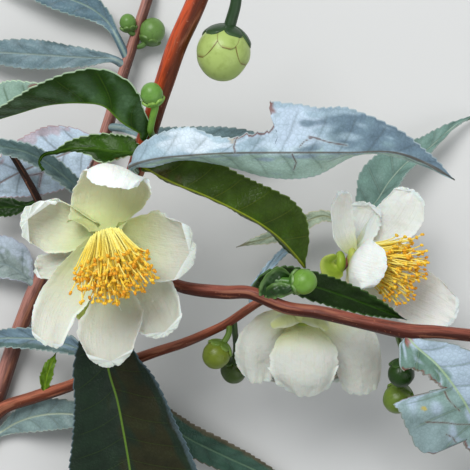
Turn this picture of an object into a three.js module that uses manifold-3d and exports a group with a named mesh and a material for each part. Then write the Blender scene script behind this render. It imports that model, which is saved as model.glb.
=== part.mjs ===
// A cut branch of a tea plant in flower, lying on a flat surface and seen from above.
// Sizes are in millimetres. X runs right, Y runs up the view and Z runs towards the viewer.
import * as THREE from "three";
import { mergeVertices } from "three/addons/utils/BufferGeometryUtils.js";
import Module from "manifold-3d";

const wasm = await Module();
wasm.setup();

// The front bloom lies on the plane z = 0, and the viewer's eye is this far above it.
const EYE_DISTANCE = 235;
// Neighbouring pieces keep this clearance.
const GAP = 0.3;
const LEAF_THICKNESS = 0.7;
const PETAL_THICKNESS = 0.8;
const LEAF_STALK_WIDTH = 1.7;
const FILAMENT_WIDTH = 0.5;
const ANTHER_LENGTH = 1.3;
const ANTHER_WIDTH = 0.9;
const TUFT_RADIUS = 1.6;
// The cap of sepals on a bud: its thickness over the bud, and the angle it spans from the stalk.
const SEPAL_THICKNESS = 0.3;
const CAP_ANGLE = 62;
// Edges shorter than this, left where petals are joined and cut, are closed up.
const SHORT_EDGE = 0.01;
// Points across one half of a leaf and of a petal, from its middle to its margin.
const LEAF_COLUMNS = 2;
const PETAL_COLUMNS = 2;
// Frames are carried along a path in this many small steps between two cross-sections.
const FINE_STEPS = 6;

const COLOURS = {
  stem: { color: 0x8a3f28, roughness: 0.6 },
  leaf: { color: 0x2f4a2c, roughness: 0.4 },
  petal: { color: 0xf6f4ec, roughness: 0.6 },
  stamen: { color: 0xf0c040, roughness: 0.7 },
  sepal: { color: 0x7f9a3a, roughness: 0.5 },
  bud: { color: 0xb9cc86, roughness: 0.45 },
};

const radians = THREE.MathUtils.degToRad;
const clamp = THREE.MathUtils.clamp;

// A place is [x, y, z]. Its x and y are read on the plane of the front bloom, along the line of
// sight, so that a place keeps its spot in the view whatever its height z is.
function seen([x, y, z]) {
  const spread = (EYE_DISTANCE - z) / EYE_DISTANCE;
  return new THREE.Vector3(x * spread, y * spread, z);
}

// The value at s, from 0 to 1, on a smooth curve through evenly spaced values.
function along(values, s) {
  if (!Array.isArray(values)) return values;
  const last = values.length - 1;
  const i = Math.min(Math.floor(s * last), last - 1);
  const t = s * last - i;
  const [a, b, c, d] = [i - 1, i, i + 1, i + 2].map((k) => values[clamp(k, 0, last)]);
  return b + 0.5 * t * (c - a + t * (2 * a - 5 * b + 4 * c - d + t * (3 * (b - c) + d - a)));
}

// Cross-section frames along a path: place, direction, and the way the upper face looks. The face
// looks at the viewer at the share `from` of the path, and is carried along from there without a
// twist; roll then turns it about the path, in degrees.
function framesAlong(path, steps, roll = 0, from = 0) {
  const curve = new THREE.CatmullRomCurve3(path.map(seen), false, "centripetal");
  const count = steps * FINE_STEPS;
  const ways = Array.from({ length: count + 1 }, (_, k) => curve.getTangentAt(k / count));
  const faces = [];
  const first = Math.round(from * count);
  const carry = (face, k) => {
    faces[k] = face.clone().addScaledVector(ways[k], -face.dot(ways[k])).normalize();
  };
  carry(new THREE.Vector3(0, 0, 1), first);
  for (let k = first + 1; k <= count; k += 1) carry(faces[k - 1], k);
  for (let k = first - 1; k >= 0; k -= 1) carry(faces[k + 1], k);
  return Array.from({ length: steps + 1 }, (_, i) => {
    const s = i / steps;
    const way = ways[i * FINE_STEPS];
    const up = faces[i * FINE_STEPS].clone().applyAxisAngle(way, radians(along(roll, s)));
    return { s, place: curve.getPointAt(s), way, up, left: up.clone().cross(way) };
  });
}

// A closed body from rings of points, each ring joined to the next and the two ends capped.
function loft(rings) {
  const size = rings[0].length;
  const points = rings.flat();
  const faces = [];
  rings.slice(1).forEach((_, r) => {
    for (let i = 0; i < size; i += 1) {
      const a = r * size + i;
      const b = r * size + ((i + 1) % size);
      faces.push([a, b, a + size], [b, b + size, a + size]);
    }
  });
  [rings[0], rings[rings.length - 1]].forEach((ring, end) => {
    const middle = ring.reduce((sum, p) => sum.add(p), new THREE.Vector3()).divideScalar(size);
    const first = end * (rings.length - 1) * size;
    points.push(middle);
    for (let i = 0; i < size; i += 1) {
      const edge = [first + i, first + ((i + 1) % size)];
      faces.push([points.length - 1, ...(end ? edge : edge.reverse())]);
    }
  });
  return solidOf(points, faces);
}

function solidOf(points, faces) {
  const make = (list) =>
    new wasm.Manifold(
      new wasm.Mesh({
        numProp: 3,
        vertProperties: new Float32Array(points.flatMap((p) => [p.x, p.y, p.z])),
        triVerts: new Uint32Array(list.flat()),
      }),
    );
  const solid = make(faces);
  return solid.volume() > 0 ? solid : make(faces.map(([a, b, c]) => [a, c, b]));
}

// The solid of a three.js geometry that is closed, such as a sphere.
function solidFrom(geometry) {
  const bare = geometry.clone();
  bare.deleteAttribute("normal");
  bare.deleteAttribute("uv");
  const merged = mergeVertices(bare, 1e-4);
  const position = merged.getAttribute("position");
  const points = Array.from({ length: position.count }, (_, i) =>
    new THREE.Vector3().fromBufferAttribute(position, i),
  );
  const index = Array.from(merged.index.array);
  const faces = [];
  for (let i = 0; i < index.length; i += 3) {
    const face = index.slice(i, i + 3);
    if (new Set(face).size === 3) faces.push(face);
  }
  return solidOf(points, faces);
}

function join(solids) {
  return wasm.Manifold.union(solids);
}

// Cuts a solid clear of others and keeps the largest piece that is left.
function cutClear(solid, others) {
  const cut = others.reduce((rest, other) => rest.subtract(other), solid);
  return cut.decompose().reduce((best, piece) => (piece.volume() > best.volume() ? piece : best));
}

// A round stem or stalk. Widths are its diameters, evenly spaced along the path.
function tube({ path, widths, sides = 8, steps = 8 }, grow = 0) {
  const rings = framesAlong(path, steps).map(({ s, place, up, left }) => {
    const radius = along(widths, s) / 2 + grow;
    return Array.from({ length: sides }, (_, i) => {
      const angle = (2 * Math.PI * i) / sides;
      return place
        .clone()
        .addScaledVector(left, radius * Math.cos(angle))
        .addScaledVector(up, radius * Math.sin(angle));
    });
  });
  return loft(rings);
}

// A thin blade along a path, which starts as a round stalk. left and right are the widths of its
// two halves, evenly spaced from the stalk's end to the tip. Fold is the angle by which a half
// rises from the middle towards the upper face, and curl the further angle on the way to its
// margin. Both are in degrees. A slant draws a half's margin along the path by that share of
// its width. All of them may change along the path.
function blade(shape, columns) {
  const { path, steps = 8, roll = 0, left, right = left, thickness } = shape;
  const { fold = 0, foldRight = fold, curl = 0, curlRight = curl } = shape;
  const { slant = 0, slantRight = slant } = shape;
  const { stalk = 0, stalkWidth = LEAF_STALK_WIDTH, from = stalk > 0 ? 0.5 : 0 } = shape;
  const halves = [
    { side: 1, widths: left, fold, curl, slant },
    { side: -1, widths: right, fold: foldRight, curl: curlRight, slant: slantRight },
  ];
  const rings = framesAlong(path, steps, roll, from).map((frame) => {
    const { s } = frame;
    const t = clamp((s - stalk) / (1 - stalk), 0, 1);
    const flat = stalk > 0 ? THREE.MathUtils.smoothstep(s, stalk * 0.7, stalk * 1.3) : 1;
    const upper = [];
    const lower = [];
    for (let i = -columns; i <= columns; i += 1) {
      const half = halves[i <= 0 ? 0 : 1];
      const q = Math.abs(i) / columns;
      const width = Math.max(along(half.widths, t), 0.12);
      const start = radians(along(half.fold, t));
      const bend = radians(along(half.curl, t)) || 1e-4;
      const angle = i === 0 ? 0 : start + bend * q;
      const across = (half.side * width * (Math.sin(start + bend * q) - Math.sin(start))) / bend;
      const rise = (width * (Math.cos(start) - Math.cos(start + bend * q))) / bend;
      const depth = (thickness / 2) * (1 - 0.45 * q) * (t < 1 ? 1 : 0.5);
      const round = (Math.PI * (columns + i + 0.5)) / (2 * columns + 1);
      for (const [row, face] of [[upper, 1], [lower, -1]]) {
        const bladeAcross = across - half.side * face * depth * Math.sin(angle);
        const bladeRise = rise + face * depth * Math.cos(angle);
        const stalkAcross = (stalkWidth / 2) * Math.cos(round);
        const stalkRise = (face * stalkWidth * Math.sin(round)) / 2;
        row.push(
          frame.place
            .clone()
            .addScaledVector(frame.left, THREE.MathUtils.lerp(stalkAcross, bladeAcross, flat))
            .addScaledVector(frame.up, THREE.MathUtils.lerp(stalkRise, bladeRise, flat))
            .addScaledVector(frame.way, along(half.slant, t) * width * q * flat),
        );
      }
    }
    return [...upper, ...lower.reverse()];
  });
  return loft(rings);
}

// STEMS

const mainStem = {
  path: [
    [-46.8, -40.5, -42.2], [-42.3, -27.5, -41.4], [-38.3, -15.7, -40.8], [-35.5, -8.8, -40.4],
    [-31.5, -1.8, -39.6], [-25.7, 9.9, -38.8], [-23.4, 18, -38.6], [-19.6, 30.6, -39.4],
    [-15.8, 42.3, -41], [-14.4, 46.6, -43],
  ],
  widths: [3.7, 3.6, 3.4, 3.1, 2.9, 2.6, 2.4, 2.2, 2.1],
  sides: 10,
  steps: 18,
};
const upperStem = {
  path: [
    [-32.2, -4.9, -39.8], [-27.9, -2, -32], [-23.6, 1.3, -24], [-20.3, 6.3, -15.5],
    [-17.6, 12.6, -8], [-15.5, 18.9, -3], [-12.8, 27.2, 0], [-10.2, 34.7, 2.5], [-6.8, 42.3, 4],
    [-4.5, 49.1, 4.5],
  ],
  widths: [3, 3, 3.1, 3.3, 3.5, 3.5, 3.7, 3.9],
  sides: 10,
  steps: 16,
};
const rightStem = {
  path: [
    [-22.1, 3.4, -19.5], [-20, -0.5, -17.5], [-16, -5.9, -13], [-9.9, -9.2, -10],
    [-2, -10.3, -7], [2.7, -10.4, -6], [9.4, -13.1, -4.5], [15.1, -13.9, -3.5],
    [24.3, -16, -2.5], [31, -17.3, -2], [36.9, -17.5, -1.5], [45.9, -18.4, -1],
  ],
  widths: [2, 1.9, 2, 2.3, 2.6, 2.4, 2.5, 2.5, 2.9, 2.3, 2.3],
  sides: 10,
  steps: 20,
};
const lowerStem = {
  path: [
    [-44.5, -34, -41.6], [-41.4, -31, -39], [-36, -29.2, -36], [-29.9, -27.2, -32],
    [-23.4, -24.5, -28], [-17.1, -22, -24], [-9, -19.3, -19], [-2, -16.2, -15],
    [4.1, -12.2, -13.5], [9, -9.9, -17], [15.3, -8.3, -24], [20.2, -4.9, -30.5],
    [22.1, 0.5, -34.5],
  ],
  widths: [2.7, 2.6, 2.3, 2.1, 1.9, 1.6, 1.5, 1.4, 1.3],
  steps: 19,
};
const backTwig = {
  path: [
    [-32.2, -2.7, -39.6], [-34, 1.8, -37], [-35.5, 6.3, -34.5], [-37.4, 9.9, -33.6],
    [-39.4, 13.3, -33.6], [-41, 16, -34.2],
  ],
  widths: [1.9, 1.7, 1.5, 1.3],
  sides: 7,
  steps: 6,
};

const pieces = [];

function addPiece(name, look, solid) {
  pieces.push({ name, look, solid });
}

addPiece("main_stem", "stem", tube(mainStem));
addPiece("upper_stem", "stem", cutClear(tube(upperStem), [tube(mainStem, GAP)]));
addPiece("right_stem", "stem", cutClear(tube(rightStem), [tube(upperStem, GAP)]));
addPiece("lower_stem", "stem", cutClear(tube(lowerStem), [tube(mainStem, GAP)]));
addPiece("back_twig", "stem", cutClear(tube(backTwig), [tube(mainStem, GAP), tube(upperStem, GAP)]));

// LEAVES

const leaves = {
  leaf_arched: {
    stem: upperStem,
    path: [
      [-15.7, 17.1, -4], [-17.1, 18.4, -1], [-20.3, 20.5, 1], [-23.6, 23.4, 2], [-27.9, 24, 2],
      [-33.7, 23.6, 0], [-39.4, 22, -4], [-44.8, 20.3, -9], [-49.5, 18.4, -14], [-53.5, 16, -18],
    ],
    stalk: 0.05,
    steps: 12,
    roll: [82, 85, 83, 75, 66, 60, 57, 55, 50, 50],
    left: [2.4, 5.9, 7.2, 6.5, 5.5, 4.7, 4.4, 3.8, 2.4, 0],
    right: [1.5, 3, 4.2, 4, 4.9, 6.6, 7, 5.4, 2.8, 0],
    fold: [67, 70, 68, 55, 46, 40, 37, 35, 30, 30],
  },
  leaf_hooked: {
    stem: upperStem,
    path: [
      [-16, 15.7, -5], [-17.3, 14.9, -2], [-20.7, 14.9, -3], [-25.2, 15.5, -4.5],
      [-29.3, 15.5, -5], [-32.2, 14.9, -4], [-34.4, 14.4, -3], [-35.3, 13, -2],
      [-34.6, 11.5, -2],
    ],
    stalk: 0.06,
    steps: 11,
    roll: 180,
    left: [1.3, 3, 3.4, 3.3, 2.8, 1.9, 0.6, 0.35, 0.2],
    right: [0.8, 0.6, 1.5, 2.6, 1.3, 0.6, 0.5, 0.35, 0.2],
    fold: 8,
  },
  leaf_long: {
    stem: upperStem,
    path: [
      [-17.8, 11.5, -8], [-18.5, 12.4, -3.4], [-17.3, 13, -0.4], [-13.5, 13.8, 1.5],
      [-8.1, 14.3, 2.5], [-0.9, 14.7, 3], [9.9, 14.8, 3], [20.7, 14.8, 2], [28.8, 14.8, 0.5],
      [34.6, 12.8, -1.5], [39.6, 9.9, -4],
    ],
    stalk: 0.07,
    steps: 19,
    left: [0.6, 3.2, 4.8, 5.2, 3.3, 3.5, 8.9, 8.9, 8.2, 8.3, 6.8, 4.6, 2.7, 1.5, 0],
    right: [0.6, 3, 5, 6, 6.6, 7.4, 8, 8, 7.8, 7.4, 6, 4, 2.4, 1.2, 0],
    fold: 2,
    foldRight: [-60, -85, -75, -58, -60, -92, -90, -60],
  },
  leaf_olive: {
    stem: upperStem,
    path: [
      [-17.5, 13, -8], [-14.9, 11.3, -6], [-10.8, 9.2, -5.5], [-7, 7.7, -5.5], [-2.7, 5.8, -6],
      [4, 2.3, -7], [7.7, -0.4, -9], [10.4, -3.2, -11], [12.6, -5.9, -13],
    ],
    stalk: 0.07,
    steps: 11,
    roll: 180,
    left: [0.8, 2, 3, 3.6, 3.8, 3.8, 3.6, 3.2, 2.6, 1.6, 0],
    right: [2.6, 5.4, 6.6, 6.8, 6.6, 6.6, 6.9, 7.3, 6.8, 4.2, 0],
    fold: 86,
    foldRight: 4,
  },
  leaf_left_narrow: {
    stem: mainStem,
    path: [
      [-25.6, 10.3, -38.8], [-27.2, 7.7, -35], [-29.7, 9.7, -32], [-33.3, 12.6, -30],
      [-37.3, 14.8, -29], [-42.3, 16, -29], [-46.8, 16.7, -31], [-51.3, 16.7, -35],
    ],
    stalk: 0.08,
    left: [1, 1.8, 2.1, 2.1, 1.9, 1.6, 1, 0],
    fold: 12,
  },
  leaf_pale_broad: {
    stem: mainStem,
    path: [
      [-23.4, 18.4, -38.6], [-25, 16.9, -37.5], [-27.9, 15.7, -37], [-33.3, 13.5, -37],
      [-38.7, 11.3, -37.3], [-44.1, 8.3, -38.5], [-46.6, 6.5, -40.5],
    ],
    stalk: 0.08,
    left: [1.5, 5, 6.8, 6.8, 6, 4.3, 2, 0],
    fold: 6,
  },
  leaf_low_left: {
    stem: lowerStem,
    path: [
      [-24.3, -25, -28.6], [-26.5, -21.6, -31], [-29.3, -20, -32], [-34.2, -18.9, -33],
      [-39.6, -18.5, -34], [-45, -18.9, -36], [-49.9, -20, -39],
    ],
    stalk: 0.1,
    left: [1, 2, 2.4, 2.4, 2, 1.2, 0],
    fold: 12,
  },
  leaf_hanging: {
    stem: rightStem,
    path: [
      [-18, -3.4, -15], [-20, -8.1, -17], [-22.9, -15.7, -19], [-22.9, -23.4, -20],
      [-21.2, -29.7, -21], [-20, -35.8, -23], [-18.9, -42.3, -26], [-17.6, -51.3, -31],
      [-16.6, -62.1, -37], [-15.7, -71.1, -42.8],
    ],
    stalk: 0.12,
    steps: 12,
    left: [1.5, 5, 8.3, 10.6, 13, 14.5, 13.5, 10.5, 5.5, 0],
    right: [1.5, 5.5, 8, 10, 12.2, 13.8, 13, 10, 5, 0],
    fold: 10,
    curl: -10,
  },
  leaf_bitten: {
    stem: rightStem,
    path: [
      [30.6, -17.3, -2], [31.9, -19.3, -1.5], [36.4, -23.4, -2.5], [40.5, -28.8, -5],
      [43, -33.3, -9], [45.9, -39.6, -17], [48.2, -46.8, -28], [49.9, -53.1, -38],
      [50.6, -55.8, -43],
    ],
    stalk: 0.02,
    steps: 21,
    left: [1, 6, 8.8, 9.8, 10, 9.4, 8, 6, 3.4, 0],
    right: [2, 4.9, 3.6, 3.6, 10.5, 11.4, 12, 11.4, 4.2, 3.8, 5, 6.5, 7.4, 7.4, 7, 6.2, 5.4, 4.4,
      3.2, 1.8, 0],
    slantRight: [-0.2, -0.3, -0.75, -0.2, -0.1, -0.3, -0.3, -0.3, -0.3],
    fold: 8,
  },
  leaf_behind_bud: {
    stem: rightStem,
    path: [
      [3.1, -10.4, -6.4], [4.9, -8.3, -10], [8.1, -7.6, -11], [14.8, -9.4, -12],
      [20.5, -11.3, -13], [25.9, -13.3, -14], [31, -15.3, -15],
    ],
    stalk: 0.1,
    left: [1, 2.4, 2.9, 2.9, 2.5, 1.6, 0],
    fold: 8,
  },
  leaf_pale_low: {
    stem: mainStem,
    path: [
      [-45.7, -37.6, -41.9], [-42.3, -35.6, -41.9], [-39.1, -33.7, -41], [-34.7, -32.4, -38.4],
      [-29.7, -32.2, -36.5], [-24.7, -33.3, -37], [-19.8, -35.1, -39],
    ],
    stalk: 0.12,
    steps: 8,
    left: [0.8, 2.5, 3.4, 3.5, 2.8, 1.5, 0],
    fold: 8,
  },
  leaf_back_left: {
    stem: mainStem,
    path: [
      [-19.8, 30.4, -39.4], [-22.1, 31.7, -38.5], [-26.1, 31.9, -38], [-31.5, 32.2, -38],
      [-37.8, 32.6, -38], [-44.1, 32.9, -39], [-50.4, 32.9, -41.5],
    ],
    stalk: 0.08,
    steps: 8,
    left: [0.8, 2, 2.6, 3.2, 3.2, 2.6, 1.4, 0],
    fold: 8,
  },
  leaf_back_right: {
    stem: lowerStem,
    path: [
      [21.8, -0.2, -34.2], [23.6, 3.6, -36], [25.7, 6.3, -37], [27.9, 9.7, -38],
      [31.1, 13.1, -38.5], [34.6, 15.3, -39], [37.1, 17.5, -39.5], [39.6, 19.6, -40.5],
      [43, 21.4, -42.5],
    ],
    stalk: 0.08,
    steps: 10,
    left: [1, 4.5, 6.3, 6, 4.4, 3.2, 2.2, 1, 0.4],
    right: [1, 3, 4, 4, 3, 2, 1.5, 0.9, 0.4],
    foldRight: 65,
  },
  leaf_back_low: {
    stem: lowerStem,
    path: [
      [-18.7, -22.7, -25], [-17.1, -27, -31], [-14.4, -31.9, -35.5], [-9, -36.2, -38.5],
      [-2.3, -39.6, -40], [3.6, -42.3, -41], [9.9, -45.5, -42], [14.9, -48.6, -43],
    ],
    stalk: 0.12,
    steps: 9,
    left: [1, 2.6, 3.3, 3.4, 2.8, 1.6, 0],
    fold: 8,
  },
  leaf_back_top: {
    stem: mainStem,
    path: [
      [-19.4, 31.7, -39.5], [-21.2, 35.5, -38.5], [-22.9, 38.3, -38.5], [-26.1, 40.9, -38.5],
      [-31.5, 43, -38.5], [-37.8, 44.5, -39], [-44.1, 44.8, -41.5],
    ],
    stalk: 0.16,
    steps: 9,
    left: [0.8, 2, 3, 3.4, 3, 2, 1, 0],
    fold: 10,
  },
  leaf_behind_long: {
    stem: mainStem,
    path: [
      [-22.9, 19.4, -38.6], [-20.7, 19.3, -37], [-17.1, 18.5, -36], [-10.8, 17.6, -35],
      [-3.6, 17.5, -35], [2.7, 17.3, -36], [9.5, 16.4, -38],
    ],
    stalk: 0.1,
    steps: 7,
    left: [0.8, 1.6, 2.3, 2.5, 2.3, 1.4, 0],
    fold: 6,
  },
  leaf_strip: {
    stem: lowerStem,
    path: [
      [21.6, -2.5, -32.6], [19.4, 1.3, -33.6], [16.4, 3.4, -34.5], [11.7, 2, -34.5],
      [6.3, -0.4, -34.5], [2.7, -1.4, -34.5], [0.2, -2.2, -35],
    ],
    stalk: 0.16,
    steps: 8,
    left: [0.5, 1.2, 1.7, 1.8, 1.6, 0.9, 0],
    fold: 8,
  },
  leaf_left_low: {
    stem: mainStem,
    path: [
      [-35.8, -9.4, -40.4], [-37.6, -7.6, -39], [-40.5, -5.6, -38.2], [-44.5, -4.9, -38.2],
      [-49.5, -5.2, -40.5],
    ],
    stalk: 0.1,
    steps: 8,
    left: [0.8, 2.4, 3.2, 3, 1.8, 0],
    right: [1, 4.5, 6, 5.5, 3, 0],
    fold: 6,
  },
  leaf_young: {
    stem: lowerStem,
    path: [
      [-34, -29, -34.7], [-34.2, -27.4, -33.8], [-33.7, -24.7, -33.4], [-32.2, -21.1, -33.4],
    ],
    stalk: 0.15,
    stalkWidth: 0.9,
    steps: 6,
    left: [0.6, 1.3, 1.5, 1.3, 0.8, 0],
    fold: 15,
  },
  leaf_dark_left: {
    stem: backTwig,
    path: [[-35.5, 6.1, -34.6], [-38.3, 5.2, -35.4], [-42.3, 4.9, -36], [-46.8, 4.1, -38]],
    stalk: 0.15,
    stalkWidth: 1.1,
    steps: 7,
    left: [0.6, 1.8, 2.1, 1.6, 0],
    fold: 8,
  },
  leaf_edge_on: {
    stem: lowerStem,
    path: [
      [3.1, -13, -13.6], [3.1, -9.7, -15.5], [4.9, -7.2, -18], [7.7, -4.1, -20],
      [10.3, -1.6, -22], [11.7, 0.5, -23],
    ],
    stalk: 0.2,
    stalkWidth: 1.2,
    steps: 7,
    left: [0.5, 0.8, 0.9, 0.8, 0],
    fold: 10,
  },
};

for (const [name, { stem, ...shape }] of Object.entries(leaves)) {
  const solid = blade({ thickness: LEAF_THICKNESS, ...shape }, LEAF_COLUMNS);
  addPiece(name, "leaf", cutClear(solid, [tube(stem, GAP)]));
}

// BLOOMS

const Y_AXIS = new THREE.Vector3(0, 1, 0);

function turnTo(direction) {
  return new THREE.Quaternion().setFromUnitVectors(Y_AXIS, direction.clone().normalize());
}

// A ball drawn out along an axis.
function ball(place, radius, axis = Y_AXIS, stretch = 1, detail = 10) {
  const geometry = new THREE.SphereGeometry(radius, detail, Math.round(detail * 0.7));
  geometry.scale(1, stretch, 1).applyQuaternion(turnTo(axis)).translate(place.x, place.y, place.z);
  return solidFrom(geometry);
}

// A petal's half width along its length: narrow at its foot and widest before its round end.
function petalWidths(half) {
  return [0.32, 0.64, 0.88, 1, 1, 0.9, 0.6].map((share) => share * half);
}

// Stamens stand on a small dome, and their anthers cover one end of an ellipsoid, dealt out evenly
// by the golden angle. A stamen that would touch a petal is left out.
function stamens({ foot, heart, reach, count }, petals) {
  const base = seen(foot);
  const centre = seen(heart);
  const axis = centre.clone().sub(base).normalize();
  const side = new THREE.Vector3(0, 0, 1).cross(axis).normalize();
  const back = axis.clone().cross(side);
  const parts = [ball(base, TUFT_RADIUS, axis, 0.5, 8)];
  for (let i = 0; i < count; i += 1) {
    const ring = Math.sqrt((i + 0.5) / count);
    const turn = i * Math.PI * (3 - Math.sqrt(5));
    const across = side.clone().multiplyScalar(ring * Math.cos(turn) * reach[0])
      .addScaledVector(back, ring * Math.sin(turn) * reach[1]);
    const tip = centre.clone().add(across)
      .addScaledVector(axis, Math.sqrt(1 - ring * ring) * reach[2]);
    const root = base.clone().addScaledVector(across, (0.55 * TUFT_RADIUS) / Math.max(...reach));
    const way = tip.clone().sub(root);
    const rings = [root, tip].map((place) =>
      [0, 1, 2].map((k) => {
        const angle = (2 * Math.PI * k) / 3;
        return place.clone()
          .addScaledVector(side, (FILAMENT_WIDTH / 2) * Math.cos(angle))
          .addScaledVector(back, (FILAMENT_WIDTH / 2) * Math.sin(angle));
      }),
    );
    const anther = new THREE.OctahedronGeometry(ANTHER_WIDTH / 2)
      .scale(1, ANTHER_LENGTH / ANTHER_WIDTH, 1)
      .applyQuaternion(turnTo(way))
      .translate(tip.x, tip.y, tip.z);
    const stamen = loft(rings).add(solidFrom(anther));
    if (petals.intersect(stamen).isEmpty()) parts.push(stamen);
  }
  return join(parts);
}

const blooms = {
  bloom_front: {
    core: { place: [-23, -0.5, -6.2], radius: 2.7, axis: [0, 0, 1] },
    petals: [
      // the hooded petal at the top, which rolls over towards the viewer
      {
        path: [
          [-22.9, 0.9, -4.8], [-22.1, 4.5, -7], [-21.8, 8.5, -6], [-21.6, 11.5, -2.5],
          [-21.8, 12.4, 1], [-22.1, 10.8, 4], [-22.7, 8.6, 5.5],
        ],
        left: [3.6, 8.4, 8.9, 8.1, 7.4, 6.8, 6, 5], right: [2.8, 4.8, 7.2, 8.2, 8.2, 7.6, 6.6, 5.2],
        slant: [-0.5, -0.42, -0.2, 0, 0], slantRight: 0, curl: 45 },
      // the left petal, whose upper margin curls over
      {
        path: [
          [-24.1, 0.4, -5.4], [-27.9, 1.2, -8.2], [-32.4, 2, -9], [-36.5, 2.7, -7],
          [-38.9, 3.1, -3],
        ],
        left: petalWidths(6.4), right: petalWidths(8), curl: 50, curlRight: 105 },
      // the small petal behind on the left
      {
        path: [[-24.3, -0.5, -6.5], [-29.7, -4.1, -10], [-33.3, -5.6, -10], [-36.2, -5.9, -8.5]],
        left: petalWidths(3), curl: 30 },
      // lower left
      {
        path: [[-24.5, -0.9, -5.5], [-27.9, -8.1, -7.5], [-31.5, -13.9, -7], [-33.5, -20.2, -4]],
        left: [1.6, 3.2, 4.2, 4.2, 3.6, 3.2, 2.6], right: petalWidths(5.2), curl: 35 },
      // lowest
      {
        path: [
          [-23, -0.5, -5], [-23.2, -6.3, -8], [-22.9, -12.6, -8], [-22.5, -18.5, -6],
          [-22.3, -23.8, -3],
        ],
        left: [1.6, 2.8, 4.4, 6.4, 7.4, 7.2, 5.6], right: [1.4, 2, 2.6, 3.6, 6, 6.4, 4.8],
        curl: 40 },
      // lower right
      {
        path: [[-22.1, -0.9, -5.5], [-18, -7.2, -9], [-14.4, -13, -8], [-12.2, -18.2, -5]],
        left: petalWidths(5.8), curl: 35 },
      // right
      {
        path: [[-22, 0.2, -5], [-17.1, -1.4, -7.5], [-12.1, -2.7, -6.5], [-7, -3.4, -2.5]],
        left: petalWidths(7.6), curl: 45 },
    ],
    tuft: { foot: [-23.2, -0.2, -2.8], heart: [-21.8, -7, 4.5], reach: [8.6, 5, 6], count: 22 },
    cup: { place: [-23, 0.4, -9.3], radius: 2.6, axis: [0, 0, -1] },
    pedicel: { stem: upperStem, path: [[-21.8, 4.1, -18.5], [-22.5, 2, -14], [-23, 0.4, -10]] },
    sepals: [
      {
        path: [
          [-23.2, -0.2, -9.5], [-24.8, -4.9, -11.2], [-26.5, -10.3, -11], [-27.4, -15.5, -9.5],
        ],
        left: petalWidths(2.4), curl: 30 },
    ],
  },
  bloom_side: {
    core: { place: [21.1, -4.1, -22], radius: 2, axis: [1, 0, 0] },
    petals: [
      // the near petal, which hides the foot of the stamens
      {
        path: [[20.7, -4.7, -20.2], [21.4, -4.9, -16], [23.6, -5.4, -13.5], [27.2, -6.5, -13]],
        left: [3.4, 4.9, 5.5, 5.7, 5.6, 5.3, 4.6], curl: -35 },
      // upper left, seen nearly edge on
      {
        path: [[21.1, -3.4, -22.5], [19.3, -0.2, -22], [18.5, 4.1, -20.5], [19.1, 8.1, -19]],
        left: petalWidths(3.6), curl: 40, roll: 35 },
      // behind the upper left one
      {
        path: [[21.2, -3.2, -24], [22, 0.5, -27], [23.6, 4.1, -28], [24.3, 5.8, -27]],
        left: petalWidths(4.2), curl: 30 },
      // upper right
      {
        path: [[21.6, -3.6, -24.5], [25.7, -0.5, -28], [29.7, 3.8, -29], [32, 8.3, -28]],
        left: [1.6, 3, 4.2, 4.9, 5.1, 4.9, 3.8], curl: 25 },
      // lower right
      {
        path: [[21.6, -4.9, -23.5], [27, -8.1, -27], [33.7, -11.7, -27], [40, -14.9, -24]],
        left: [1.6, 3.4, 4.9, 5.8, 6, 5.6, 4], curl: 25 },
      // below, behind the leaf
      {
        path: [[21.1, -5.2, -23], [22.9, -8.1, -25], [26.1, -11.3, -25], [28.3, -13.9, -24]],
        left: petalWidths(4.4), curl: 30 },
    ],
    tuft: { foot: [22.9, -4.1, -21.3], heart: [30.2, -6.3, -18.8], reach: [8.2, 4.4, 5], count: 16 },
    cup: { place: [18.9, -4.9, -22], radius: 2.3, axis: [-1, 0, 0] },
    pedicel: { stem: lowerStem, path: [[14.9, -8.3, -24], [16.7, -6.7, -22.5], [18.5, -5.2, -22]] },
    sepals: [
      {
        path: [[19.3, -6.3, -21], [17.6, -6.7, -19.5], [16.7, -5, -18.8], [18.2, -3.6, -18.8]],
        left: [1.2, 1.9, 1.9, 1], curl: -20 },
    ],
  },
  bloom_hanging: {
    core: { place: [12.2, -16.4, -15.5], radius: 2, axis: [0, -1, 0] },
    petals: [
      // nearest, in the middle
      {
        path: [[12.1, -15.7, -14.5], [12.4, -19.8, -10.5], [12.6, -25, -10], [12.6, -29.2, -13]],
        left: petalWidths(7), curl: -30 },
      // left
      {
        path: [[11.2, -15.7, -15.5], [7, -16.9, -15], [4.3, -20.7, -15], [4.3, -26.8, -17]],
        left: petalWidths(4.6), curl: -30 },
      // right
      {
        path: [[13.3, -15.7, -15.5], [18.2, -17.1, -15], [22, -21.4, -15.5], [23.2, -28.8, -18]],
        left: petalWidths(5.2), curl: -30 },
      // behind on the left and the right
      {
        path: [[11.5, -15.8, -17], [8.8, -19.8, -22], [8.5, -23.9, -23.5], [8.8, -26.8, -22.5]],
        left: petalWidths(4.6), curl: 30 },
      {
        path: [[13, -15.8, -17], [16.4, -19.6, -22], [17.5, -23.6, -23.5], [17.5, -26.5, -22.5]],
        left: petalWidths(4.6), curl: 30 },
    ],
    tuft: { foot: [12.2, -18.4, -16.8], heart: [12.4, -22.1, -17], reach: [3, 2, 2], count: 5 },
    cup: { place: [12.1, -14.8, -12.4], radius: 2.2, axis: [0, 1, 0] },
    pedicel: { stem: rightStem, path: [[11, -13.4, -4.2], [11.2, -13.7, -8], [11.9, -14.8, -12]] },
    sepals: [
      {
        path: [[11.7, -14.6, -11], [13.9, -14.9, -8.6], [15.7, -16, -7.6], [16.7, -17.1, -7.4]],
        left: [1, 1.6, 1.5, 0.8], curl: -20 },
      {
        path: [[11.7, -14.8, -11.5], [9.7, -15.1, -10.6], [7.9, -15.7, -10.6], [6.5, -16.4, -11]],
        left: [1, 1.5, 1.4, 0.8], curl: -20 },
    ],
  },
};

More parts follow.
